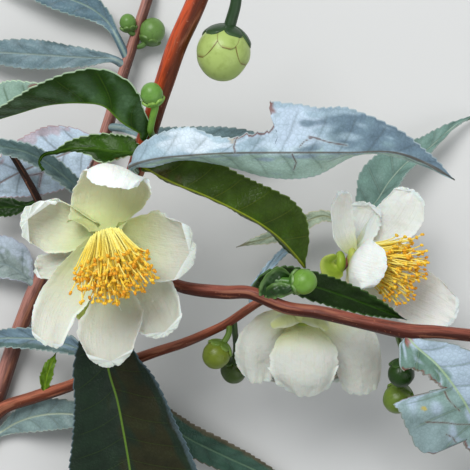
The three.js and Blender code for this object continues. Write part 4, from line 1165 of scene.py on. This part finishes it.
BLOOMS = {
  "bloom_front": {
    "core": {"place": [-23, -0.5, -6.2], "radius": 2.7, "axis": [0, 0, 1]},
    "petals": [
      # the hooded petal at the top, which rolls over towards the viewer
      {"path": [
        [-22.9, 0.9, -4.8], [-22.1, 4.5, -7], [-21.8, 8.5, -6], [-21.6, 11.5, -2.5],
        [-21.8, 12.4, 1], [-22.1, 10.8, 4], [-22.7, 8.6, 5.5],
       ],
       "left": [3.6, 8.4, 8.9, 8.1, 7.4, 6.8, 6, 5], "right": [2.8, 4.8, 7.2, 8.2, 8.2, 7.6, 6.6, 5.2],
       "slant": [-0.5, -0.42, -0.2, 0, 0], "slant_right": 0, "curl": 45},
      # the left petal, whose upper margin curls over
      {"path": [
        [-24.1, 0.4, -5.4], [-27.9, 1.2, -8.2], [-32.4, 2, -9], [-36.5, 2.7, -7],
        [-38.9, 3.1, -3],
       ],
       "left": petal_widths(6.4), "right": petal_widths(8), "curl": 50, "curl_right": 105},
      # the small petal behind on the left
      {"path": [[-24.3, -0.5, -6.5], [-29.7, -4.1, -10], [-33.3, -5.6, -10], [-36.2, -5.9, -8.5]],
       "left": petal_widths(3), "curl": 30},
      # lower left
      {"path": [[-24.5, -0.9, -5.5], [-27.9, -8.1, -7.5], [-31.5, -13.9, -7], [-33.5, -20.2, -4]],
       "left": [1.6, 3.2, 4.2, 4.2, 3.6, 3.2, 2.6], "right": petal_widths(5.2), "curl": 35},
      # lowest
      {"path": [
        [-23, -0.5, -5], [-23.2, -6.3, -8], [-22.9, -12.6, -8], [-22.5, -18.5, -6],
        [-22.3, -23.8, -3],
       ],
       "left": [1.6, 2.8, 4.4, 6.4, 7.4, 7.2, 5.6], "right": [1.4, 2, 2.6, 3.6, 6, 6.4, 4.8],
       "curl": 40},
      # lower right
      {"path": [[-22.1, -0.9, -5.5], [-18, -7.2, -9], [-14.4, -13, -8], [-12.2, -18.2, -5]],
       "left": petal_widths(5.8), "curl": 35},
      # right
      {"path": [[-22, 0.2, -5], [-17.1, -1.4, -7.5], [-12.1, -2.7, -6.5], [-7, -3.4, -2.5]],
       "left": petal_widths(7.6), "curl": 45},
    ],
    "tuft": {"foot": [-23.2, -0.2, -2.8], "heart": [-21.8, -7, 4.5], "reach": [8.6, 5, 6]},
    "cup": {"place": [-23, 0.4, -9.3], "radius": 2.6, "axis": [0, 0, -1]},
    "pedicel": {"path": [[-21.8, 4.1, -18.5], [-22.5, 2, -14], [-23, 0.4, -10]]},
    "sepals": [
      {"path": [
        [-23.2, -0.2, -9.5], [-24.8, -4.9, -11.2], [-26.5, -10.3, -11], [-27.4, -15.5, -9.5],
       ],
       "left": petal_widths(2.4), "curl": 30},
    ],
  },
  "bloom_side": {
    "core": {"place": [21.1, -4.1, -22], "radius": 2, "axis": [1, 0, 0]},
    "petals": [
      # the near petal, which hides the foot of the stamens
      {"path": [[20.7, -4.7, -20.2], [21.4, -4.9, -16], [23.6, -5.4, -13.5], [27.2, -6.5, -13]],
       "left": [3.4, 4.9, 5.5, 5.7, 5.6, 5.3, 4.6], "curl": -35},
      # upper left, seen nearly edge on
      {"path": [[21.1, -3.4, -22.5], [19.3, -0.2, -22], [18.5, 4.1, -20.5], [19.1, 8.1, -19]],
       "left": petal_widths(3.6), "curl": 40, "roll": 35},
      # behind the upper left one
      {"path": [[21.2, -3.2, -24], [22, 0.5, -27], [23.6, 4.1, -28], [24.3, 5.8, -27]],
       "left": petal_widths(4.2), "curl": 30},
      # upper right
      {"path": [[21.6, -3.6, -24.5], [25.7, -0.5, -28], [29.7, 3.8, -29], [32, 8.3, -28]],
       "left": [1.6, 3, 4.2, 4.9, 5.1, 4.9, 3.8], "curl": 25},
      # lower right
      {"path": [[21.6, -4.9, -23.5], [27, -8.1, -27], [33.7, -11.7, -27], [40, -14.9, -24]],
       "left": [1.6, 3.4, 4.9, 5.8, 6, 5.6, 4], "curl": 25},
      # below, behind the leaf
      {"path": [[21.1, -5.2, -23], [22.9, -8.1, -25], [26.1, -11.3, -25], [28.3, -13.9, -24]],
       "left": petal_widths(4.4), "curl": 30},
    ],
    "tuft": {"foot": [22.9, -4.1, -21.3], "heart": [30.2, -6.3, -18.8], "reach": [8.2, 4.4, 5]},
    "cup": {"place": [18.9, -4.9, -22], "radius": 2.3, "axis": [-1, 0, 0]},
    "pedicel": {"path": [[14.9, -8.3, -24], [16.7, -6.7, -22.5], [18.5, -5.2, -22]]},
    "sepals": [
      {"path": [[19.3, -6.3, -21], [17.6, -6.7, -19.5], [16.7, -5, -18.8], [18.2, -3.6, -18.8]],
       "left": [1.2, 1.9, 1.9, 1], "curl": -20},
    ],
  },
  "bloom_hanging": {
    "core": {"place": [12.2, -16.4, -15.5], "radius": 2, "axis": [0, -1, 0]},
    "petals": [
      # nearest, in the middle
      {"path": [[12.1, -15.7, -14.5], [12.4, -19.8, -10.5], [12.6, -25, -10], [12.6, -29.2, -13]],
       "left": petal_widths(7), "curl": -30},
      # left
      {"path": [[11.2, -15.7, -15.5], [7, -16.9, -15], [4.3, -20.7, -15], [4.3, -26.8, -17]],
       "left": petal_widths(4.6), "curl": -30},
      # right
      {"path": [[13.3, -15.7, -15.5], [18.2, -17.1, -15], [22, -21.4, -15.5], [23.2, -28.8, -18]],
       "left": petal_widths(5.2), "curl": -30},
      # behind on the left and the right
      {"path": [[11.5, -15.8, -17], [8.8, -19.8, -22], [8.5, -23.9, -23.5], [8.8, -26.8, -22.5]],
       "left": petal_widths(4.6), "curl": 30},
      {"path": [[13, -15.8, -17], [16.4, -19.6, -22], [17.5, -23.6, -23.5], [17.5, -26.5, -22.5]],
       "left": petal_widths(4.6), "curl": 30},
    ],
    "tuft": {"foot": [12.2, -18.4, -16.8], "heart": [12.4, -22.1, -17], "reach": [3, 2, 2]},
    "cup": {"place": [12.1, -14.8, -12.4], "radius": 2.2, "axis": [0, 1, 0]},
    "pedicel": {"path": [[11, -13.4, -4.2], [11.2, -13.7, -8], [11.9, -14.8, -12]]},
    "sepals": [
      {"path": [[11.7, -14.6, -11], [13.9, -14.9, -8.6], [15.7, -16, -7.6], [16.7, -17.1, -7.4]],
       "left": [1, 1.6, 1.5, 0.8], "curl": -20},
      {"path": [[11.7, -14.8, -11.5], [9.7, -15.1, -10.6], [7.9, -15.7, -10.6], [6.5, -16.4, -11]],
       "left": [1, 1.5, 1.4, 0.8], "curl": -20},
    ],
  },
}
PETAL_FOOT = colour(186, 196, 96)
FOOT_STRENGTH = 0.72
# The white of each bloom's petals, inside and outside, as it shows from 0 to 255. The petals
# are one white; the darker insides and the greyer hanging bloom are painted shade, and the
# lighter outsides painted light.
PETAL_WHITES = {
    "bloom_front": ((218, 221, 209), (244, 246, 241)),
    "bloom_side": ((242, 244, 240), (245, 247, 243)),
    "bloom_hanging": ((196, 199, 190), (206, 209, 200)),
}
# Painted shade on petals that lie in shade: how light each petal of a bloom is, as a share of
# its whites. Petals not named here are at 1.
PETAL_PAINTED_SHADE = {"bloom_front": {3: 0.9, 4: 0.78, 6: 0.78}, "bloom_side": {0: 0.88, 4: 0.82}}
# How far up a petal its foot's colour reaches.
FOOT_REACH = {"bloom_front": 0.85, "bloom_side": 0.4, "bloom_hanging": 0.5}
# How many stamens a bloom has, and how long its shortest are, as a share of its longest.
STAMENS = {"bloom_front": (230, 0.55), "bloom_side": (200, 0.35), "bloom_hanging": (14, 0.5)}
FILAMENT_PALE = colour(255, 246, 150)
FILAMENT_YELLOW = colour(250, 218, 64)
ANTHER_GOLD = colour(232, 156, 22)
ANTHER_YELLOW = colour(255, 214, 62)
# The greens of each bloom's cup and of its sepals' rims, as they show. The front bloom's are
# painted far paler than its sepal is, as painted light where it lies in shadow.
SEPAL_GREENS = {
    "bloom_front": ((232, 248, 130), (240, 252, 160)),
    "bloom_side": ((150, 176, 50), (196, 210, 100)),
    "bloom_hanging": ((184, 190, 128), (196, 200, 168)),
}
# Rows along and columns across half of a petal's, a sepal's and a bract's mesh.
PETAL_MESH = {"rows": 48, "columns": 18}
SEPAL_MESH = {"rows": 30, "columns": 10}
BRACT_MESH = {"rows": 60, "columns": 12}
PEDICEL_WIDTHS = (1.4, 1.6, 2)
# How flat the core, the cup and the foot of the tuft are, as shares of their radius.
CORE_FLATNESS = 0.5
FOOT_FLATNESS = 0.6
FILAMENT_ROWS = 8
FILAMENT_SIDES = 6
# How far a filament bows at least and at most, and how far it strays, as shares of its length.
FILAMENT_BOW = (0.04, 0.12)
FILAMENT_STRAY = 0.035
# How far each of an anther's two lobes stands from its middle, and a lobe's radius.
LOBE_OFFSET = 0.17
LOBE_RADIUS = ANTHER_WIDTH / 2.5
LOBE_DETAIL = 8


def petal_look():
    """Thin white tissue with faint lengthwise veins and soft wrinkles."""
    look = Look("petal", Roughness=0.6, Subsurface_Weight=0.2, Subsurface_Scale=0.001,
                Specular_IOR_Level=0.25)
    veins = look.streaks(("t", "q"), (2, 22, 1))
    base = look.mix(look.rise(veins, 0.5, 0.75, 0, 0.2), look.tint(), colour(176, 180, 150))
    speckle = look.noise(2.4, detail=4)
    base = look.mix(look.rise(speckle, 0.48, 0.8, 0, 0.2), base, colour(184, 184, 150))
    wrinkles = look.bump(look.noise(1.3, detail=4), 0.26)
    return look.finish(base, look.bump(veins, 0.1, wrinkles))


def petal_relief(seed):
    """Shallow dents over the petal and a lightly ruffled rim."""
    def relief(t, q):
        places = flat(3.4 * t, 2 * q)
        ruffle = 0.32 * ripple(places, 1.3, seed) * np.abs(q) ** 2 * smooth(t, 0.3, 0.9)
        tip = 0.16 * ripple(places, 0.9, seed + 2) * smooth(t, 0.8, 1)
        dents = 0.22 * ripple(places, 2.2, seed + 1) * smooth(t, 0.1, 0.5)
        return ruffle + tip + dents
    return relief


def petal_cut(seed):
    """The rim swings in and out a little."""
    def cut(t, q, width):
        rim = flat(9 * t, np.sign(q))
        swing = 0.03 * ripple(rim, 1.6, seed) + 0.02 * ripple(4 * rim, 1.6, seed + 1)
        return (0.04 + swing) * width * np.abs(q) ** 5
    return cut


def petal_slide(seed):
    """The tip is an arc of a circle, with small swings."""
    def slide(t, q, width):
        end = smooth(t, 0.5, 1)
        arc = 0.85 * (1 - np.sqrt(1 - 0.8 * q**2))
        tip = flat(3.5 * q, 0 * t)
        swing = 0.032 * ripple(tip, 1.2, seed) + 0.02 * ripple(4 * tip, 1.2, seed + 1)
        return -width * end * (arc + 0.03 + swing)
    return slide


def petal_tint(name, number):
    """White, and cream green towards the foot up to a share of the length."""
    # Painted shade: how light the petal is painted where it lies in shade.
    light = PETAL_PAINTED_SHADE.get(name, {}).get(number, 1)
    inside, outside = (light * colour(*white) for white in PETAL_WHITES[name])

    def tint(t, q, under, rim):
        foot = (1 - smooth(t, 0, FOOT_REACH[name]))[..., None]
        # Painted light and shade: the lit outside white on the lower face and along the rim, the
        # inside white elsewhere.
        face = inside + (outside - inside) * np.maximum(under, 1 - smooth(rim, 0.2, 0.9))[..., None]
        return face + (PETAL_FOOT - face) * foot * FOOT_STRENGTH
    return tint


def petal_values(t, q, width, rim):
    """The values that a petal's veins are drawn from."""
    return {"t": t, "q": q}


def sepal_tint(green, pale):
    """Green, paler towards the rim."""
    def tint(t, q, under, rim):
        return green + (pale - green) * smooth(np.abs(q), 0.3, 1)[..., None]
    return tint


def tissue_look(name, grain=1.6, **settings):
    """Smooth green or yellow tissue, softly mottled in grains of that many millimetres."""
    look = Look(name, **settings)
    mottle = look.noise(grain, detail=3)
    base = look.mix(look.rise(mottle, 0.45, 0.75, 0, 0.5), look.tint(), colour(206, 208, 180),
                    "MULTIPLY")
    return look.finish(base, look.bump(look.noise(0.5, detail=3), 0.04))


def stamens(body, shape, count, shortest, seed):
    """Thin curved filaments of many lengths, dealt out over a dome by the golden angle."""
    rng = np.random.default_rng(seed)
    base, centre = seen(shape["foot"]), seen(shape["heart"])
    axis = unit(centre - base)
    side = unit(np.cross(UP, axis))
    back = np.cross(axis, side)
    reach = shape["reach"]
    for i in range(count):
        ring = math.sqrt((i + 0.5) / count)
        turn = i * math.pi * (3 - math.sqrt(5))
        across = side * ring * math.cos(turn) * reach[0] + back * ring * math.sin(turn) * reach[1]
        height = math.sqrt(1 - ring * ring) * reach[2]
        root = base + across * FOOT_SPREAD
        outermost = centre + across + axis * height
        tip = root + (outermost - root) * rng.uniform(shortest, 1) ** 0.8
        filament(body, root, tip, axis, rng)
        anther(body, tip, unit(tip - root), rng)


def filament(body, root, tip, axis, rng):
    """A thin thread that bows towards the axis, paler at its root."""
    length = np.linalg.norm(tip - root)
    bow = axis * length * rng.uniform(*FILAMENT_BOW)
    bow = bow + rng.normal(size=3) * FILAMENT_STRAY * length
    s = np.linspace(0, 1, FILAMENT_ROWS)[:, None]
    middle = root + (tip - root) * s + bow * 4 * s * (1 - s)
    way = unit(tip - root)
    side = beside(way)
    back = np.cross(way, side)
    angle = np.linspace(0, 2 * math.pi, FILAMENT_SIDES, endpoint=False)[None, :, None]
    radius = FILAMENT_WIDTH / 2 * (1.2 - 0.4 * s)[:, None]
    rings = middle[:, None] + radius * (side * np.cos(angle) + back * np.sin(angle))
    warm = FILAMENT_PALE + (FILAMENT_YELLOW - FILAMENT_PALE) * rng.uniform(0.2, 1)
    body.skin(rings, tint=(FILAMENT_PALE + (warm - FILAMENT_PALE) * smooth(s, 0, 0.5))[:, None])


def anther(body, tip, way, rng):
    """Two lobes side by side, held at a slant."""
    lean = unit(way + rng.normal(size=3) * 0.6)
    side = beside(lean)
    tint = ANTHER_GOLD + (ANTHER_YELLOW - ANTHER_GOLD) * rng.uniform(0, 1)
    for lobe in (-1, 1):
        ball(body, tip + side * lobe * LOBE_OFFSET, LOBE_RADIUS, tint, lean,
             ANTHER_LENGTH / ANTHER_WIDTH, LOBE_DETAIL)


def corolla(name, bloom, number):
    """A bloom's petals round its core."""
    body = Body()
    core = bloom["core"]
    ball(body, seen(core["place"]), core["radius"], PETAL_FOOT, core["axis"], CORE_FLATNESS)
    for k, shape in enumerate(bloom["petals"]):
        seed = 100 * number + 10 * k
        blade(body, shape, **PETAL_MESH, thickness=PETAL_THICKNESS, tint=petal_tint(name, k),
              relief=petal_relief(seed), cut=petal_cut(seed + 4), values=petal_values,
              slide=petal_slide(seed + 5))
    make(name + "_corolla", body, petal_skin, name + "_petals")


def tuft(name, bloom, number):
    """A bloom's stamens on their foot."""
    body = Body()
    shape = bloom["tuft"]
    ball(body, seen(shape["foot"]), TUFT_RADIUS, FILAMENT_YELLOW, stretch=FOOT_FLATNESS)
    stamens(body, shape, *STAMENS[name], seed=number)
    make(name + "_tuft", body, stamen_skin, name + "_stamens")


def calyx(name, bloom, number):
    """A bloom's stalk, the cup under it and its sepals."""
    body = Body()
    cup = bloom["cup"]
    inner, outer = (colour(*green) for green in SEPAL_GREENS[name])
    tube(body, bloom["pedicel"]["path"], PEDICEL_WIDTHS, inner)
    ball(body, seen(cup["place"]), cup["radius"], inner, cup["axis"], CORE_FLATNESS)
    for shape in bloom["sepals"]:
        blade(body, shape, **SEPAL_MESH, thickness=SEPAL_THICKNESS,
              tint=sepal_tint(inner, outer), slide=petal_slide(number + 50))
    make(name + "_cup", body, sepal_skin, name + "_calyx")


petal_skin = petal_look()
stamen_skin = tissue_look("stamen", grain=0.5, Roughness=0.7)
sepal_skin = tissue_look("sepal", Roughness=0.45)
for number, (name, bloom) in enumerate(BLOOMS.items()):
    corolla(name, bloom, number)
    tuft(name, bloom, number)
    calyx(name, bloom, number)


# BUDS

BUDS = {
  "bud_large": {"width": 2, "radius": 4.7, "stretch": 1.08,
    "path": [
      [-5, 47.7, 4.4], [-2.3, 49.1, 4.5], [-0.2, 46.3, 4], [0.2, 42.3, 3.5], [-0.9, 37.8, 2.5],
      [-2.1, 32.8, 2],
    ]},
  "bud_small": {"width": 1.2, "radius": 1.95,
    "path": [
      [-14.9, 17.8, -2.4], [-15.2, 19.1, 1], [-14.8, 21.2, 3.2], [-14.4, 23.2, 4.2],
      [-15, 25.4, 4.8],
    ]},
  "bud_node": {"width": 1.5, "radius": 2.3,
    "path": [
      [4.9, -11.2, -5.5], [5.2, -9.2, -4.5], [7.7, -8.3, -4], [10.3, -8.5, -3.5],
      [12.4, -8.4, -3],
    ],
    "bracts": [
      {"path": [[5, -11, -4.5], [5.9, -9, -3.5], [7.9, -7.2, -3.5], [9.9, -7.7, -4.5]],
       "left": [0.8, 1.5, 1.6, 0.6], "curl": 50},
      {"path": [[5.2, -11, -4.5], [7.2, -10.1, -2.6], [9.5, -9.9, -2.2], [11, -9.2, -2.4]],
       "left": [0.8, 1.5, 1.4, 0.6], "curl": -40},
    ]},
  "bud_pair_upper": {"width": 1.2, "radius": 2.6,
    "path": [[-1.1, -15.8, -14.7], [-1.1, -17.6, -14.5], [-2.3, -19.8, -14.5], [-3.4, -21.6, -14.5]]},
  "bud_pair_lower": {"width": 1.2, "radius": 2.6,
    "path": [[-0.2, -15.3, -14.3], [0, -17.6, -17], [0.2, -20.9, -20.5], [-0.2, -24.3, -22]]},
  "bud_right_upper": {"width": 1.3, "radius": 2.45,
    "path": [[30.6, -17.3, -2.4], [31, -19.4, -6], [30.4, -22.1, -8.5], [29.9, -25, -9]]},
  "bud_right_lower": {"width": 1.2, "radius": 2.7,
    "path": [
      [29, -16.9, -2.6], [29.7, -19.3, -8], [31, -22.9, -13], [30.6, -26.8, -14.5],
      [29.2, -29.5, -14],
    ]},
  "bud_back_left": {"width": 1.1, "radius": 1.7,
    "path": [[-17.6, 36.9, -40.2], [-18.4, 36.2, -39], [-19.1, 36.9, -38.5], [-19.3, 38.3, -38.5]]},
  "bud_back_right": {"width": 1.2, "radius": 2.7,
    "path": [[-18.7, 34, -39.8], [-16.9, 34, -40], [-15.7, 35.1, -40.5], [-14.9, 36.7, -40.5]]},
}

# The colours of each bud's ball, of the sepals that cap it, of their rims and of the seams
# between the petals that wrap it, as they show from 0 to 255.
BUD_TINTS = {
    "bud_large": ((164, 184, 104), (40, 64, 36), (62, 86, 52), (112, 82, 40)),
    "bud_small": ((104, 148, 66), (104, 148, 52), (140, 176, 84), (101, 141, 52)),
    "bud_node": ((104, 146, 54), (70, 112, 40), (120, 150, 90), (105, 144, 57)),
    "bud_pair_upper": ((98, 112, 26), (78, 104, 30), (104, 128, 50), (104, 116, 40)),
    "bud_pair_lower": ((52, 72, 14), (44, 68, 20), (70, 94, 36), (62, 82, 24)),
    "bud_right_upper": ((30, 58, 10), (34, 62, 18), (58, 88, 34), (34, 62, 16)),
    "bud_right_lower": ((98, 120, 42), (84, 112, 38), (106, 132, 54), (98, 120, 48)),
    "bud_back_left": ((96, 134, 62), (80, 112, 52), (100, 130, 64), (83, 115, 53)),
    "bud_back_right": ((100, 134, 66), (80, 112, 52), (100, 130, 64), (86, 115, 57)),
}
BRACT_GREEN = colour(26, 56, 12)
BRACT_RIM = colour(92, 124, 66)
SEPAL_COUNT = 5
# The outer scales that wrap a bud: where each stands, from the side that faces the viewer, how
# far it reaches from the stalk and half its width, in degrees.
SCALES = ((150, 112, 64), (-150, 108, 64), (-58, 112, 46), (62, 106, 42), (6, 82, 34))
# How far each scale stands over the one under it, as a share of the bud's radius.
SCALE_STEP = 0.0085
# How far each sepal of the cap reaches, as a share of the cap.
SEPAL_REACH = (0.85, 1.08, 0.9, 1.12, 0.95)
# Half the width of a sepal of the cap, in degrees.
SEPAL_HALF = 44
# How far the cap stands off the bud, and every second sepal off its neighbours.
CAP_GAP = 0.16
SEPAL_STEP = 0.1
# How far a scale's rim slopes down, and how much deeper the inside of a shell lies.
SCALE_SINK = 0.04
SHELL_DEPTH = 0.1
SHELL_ROWS = 26
SHELL_COLUMNS = 23
# A bud's stalk is wider at the bud by this factor.
STALK_WIDENING = 1.2
BUD_STALK_SIDES = 18
BUD_DETAIL = 48
BUD_STRETCH = 1.05
# How deep the dents in a bud are, as a share of its radius.
BUD_DENTS = 0.008
# A shell slopes down to its rim from this share of its reach on, and the colour of the rim
# sets in from one share on for a scale and from another for a sepal.
SLOPE_START = 0.86
SCALE_RIM_START = 0.94
SEPAL_RIM_START = 0.8


def shell(body, centre, axis, radii, turn, angles, tint, rim_tint, rim_start):
    """A curved scale that hugs a bud from its stalk to a round rim, between two radii.

    Angles are how far it reaches from the stalk's axis and half its width round that axis.
    """
    p = np.linspace(0.02, 1, SHELL_ROWS)[:, None]
    w = np.linspace(-1, 1, SHELL_COLUMNS)[None, :]
    half = math.radians(angles[1]) * np.sqrt(np.clip(1 - (p - 0.35) ** 2 / 0.45, 0, 1))
    polar = math.radians(angles[0]) * p * np.ones_like(w)
    ways = ways_round(axis, polar, turn + half * w)
    rim = np.maximum(np.abs(w) * np.ones_like(p), p * np.ones_like(w))
    outer = radii[1] - (radii[1] - radii[0]) * smooth(rim, SLOPE_START, 1)
    sheets = [centre + ways * outer[..., None], (centre + ways * (radii[0] - SHELL_DEPTH))[:, ::-1]]
    shade = tint + (rim_tint - tint) * smooth(rim, rim_start, 1)[..., None]
    body.skin(np.concatenate(sheets, 1), tint=both_faces(shade))


def bud(name, shape):
    """A round bud on its stalk, wrapped by scales and capped by sepals."""
    body = Body()
    places = [seen(place) for place in shape["path"]]
    centre = places[-1]
    axis = unit(places[-2] - centre)
    radius, width = shape["radius"], shape["width"]
    skin, cap, cap_rim, seam = (colour(*tone) for tone in BUD_TINTS[name])
    widths = [width, width, width * STALK_WIDENING]
    tube(body, shape["path"], widths, cap, sides=BUD_STALK_SIDES)
    ball(body, centre, radius, skin, axis, shape.get("stretch", BUD_STRETCH), BUD_DETAIL,
         lambda ways: BUD_DENTS * ripple(ways, 0.9, 7))
    for k, (turn, reach, half) in enumerate(SCALES):
        top = radius + SCALE_STEP * (k + 1) * radius
        shell(body, centre, axis, (top - SCALE_SINK, top), math.radians(turn), (reach, half), skin,
              seam, SCALE_RIM_START)
    for k in range(SEPAL_COUNT):
        low = radius + CAP_GAP + SEPAL_STEP * (k % 2)
        turn = 2 * math.pi * (k + 0.3) / SEPAL_COUNT
        shell(body, centre, axis, (low, low + SEPAL_THICKNESS), turn,
              (CAP_ANGLE * SEPAL_REACH[k], SEPAL_HALF), cap, cap_rim, SEPAL_RIM_START)
    for bract in shape.get("bracts", []):
        blade(body, bract, **BRACT_MESH, thickness=SEPAL_THICKNESS,
              tint=sepal_tint(BRACT_GREEN, BRACT_RIM), relief=bract_relief)
    make(name + "_round", body, bud_skin, name)


def bract_relief(t, q):
    """Shallow dents."""
    return 0.12 * ripple(flat(4 * t, 2 * q), 1.1, 3)


bud_skin = tissue_look("bud", Roughness=0.36, Specular_IOR_Level=0.35)
for name, shape in BUDS.items():
    bud(name, shape)


# STAGE

# The floor's width and the lights' places and sizes, in metres, and their powers, in watts.
FLOOR_WIDTH = 8
LIGHTS = {
    "key": {"place": (-0.25, 0.45, 0.75), "size": 0.45, "power": 6.6},
    "fill": {"place": (0.5, -0.4, 0.7), "size": 0.8, "power": 2},
}
FLOOR_GREY = (0.64, 0.64, 0.63, 1)
SKY_BLUE = (0.9, 0.95, 1, 1)
SKY_STRENGTH = 0.44


def floor():
    """The pale floor that the branch lies on."""
    mesh = bpy.data.meshes.new("floor")
    half = FLOOR_WIDTH / 2
    corners = [(-half, -half, 0), (half, -half, 0), (half, half, 0), (-half, half, 0)]
    mesh.from_pydata(corners, [], [(0, 1, 2, 3)])
    look = Look("floor", Base_Color=FLOOR_GREY, Roughness=0.9)
    mesh.materials.append(look.material)
    ground = bpy.data.objects.new("floor", mesh)
    bpy.context.scene.collection.objects.link(ground)


def light(name, place, size, power):
    """A square lamp that looks at the branch."""
    lamp = bpy.data.lights.new(name, "AREA")
    lamp.size = size
    lamp.energy = power
    holder = bpy.data.objects.new(name, lamp)
    holder.location = place
    holder.rotation_euler = (-holder.location).to_track_quat("-Z", "Y").to_euler()
    bpy.context.scene.collection.objects.link(holder)


def sky():
    """Soft light from all sides."""
    world = bpy.data.worlds.new("world")
    world.use_nodes = True
    background = world.node_tree.nodes["Background"].inputs
    background["Color"].default_value = SKY_BLUE
    background["Strength"].default_value = SKY_STRENGTH
    bpy.context.scene.world = world


bpy.context.scene.view_settings.view_transform = "Standard"
floor()
for name, details in LIGHTS.items():
    light(name, **details)
sky()
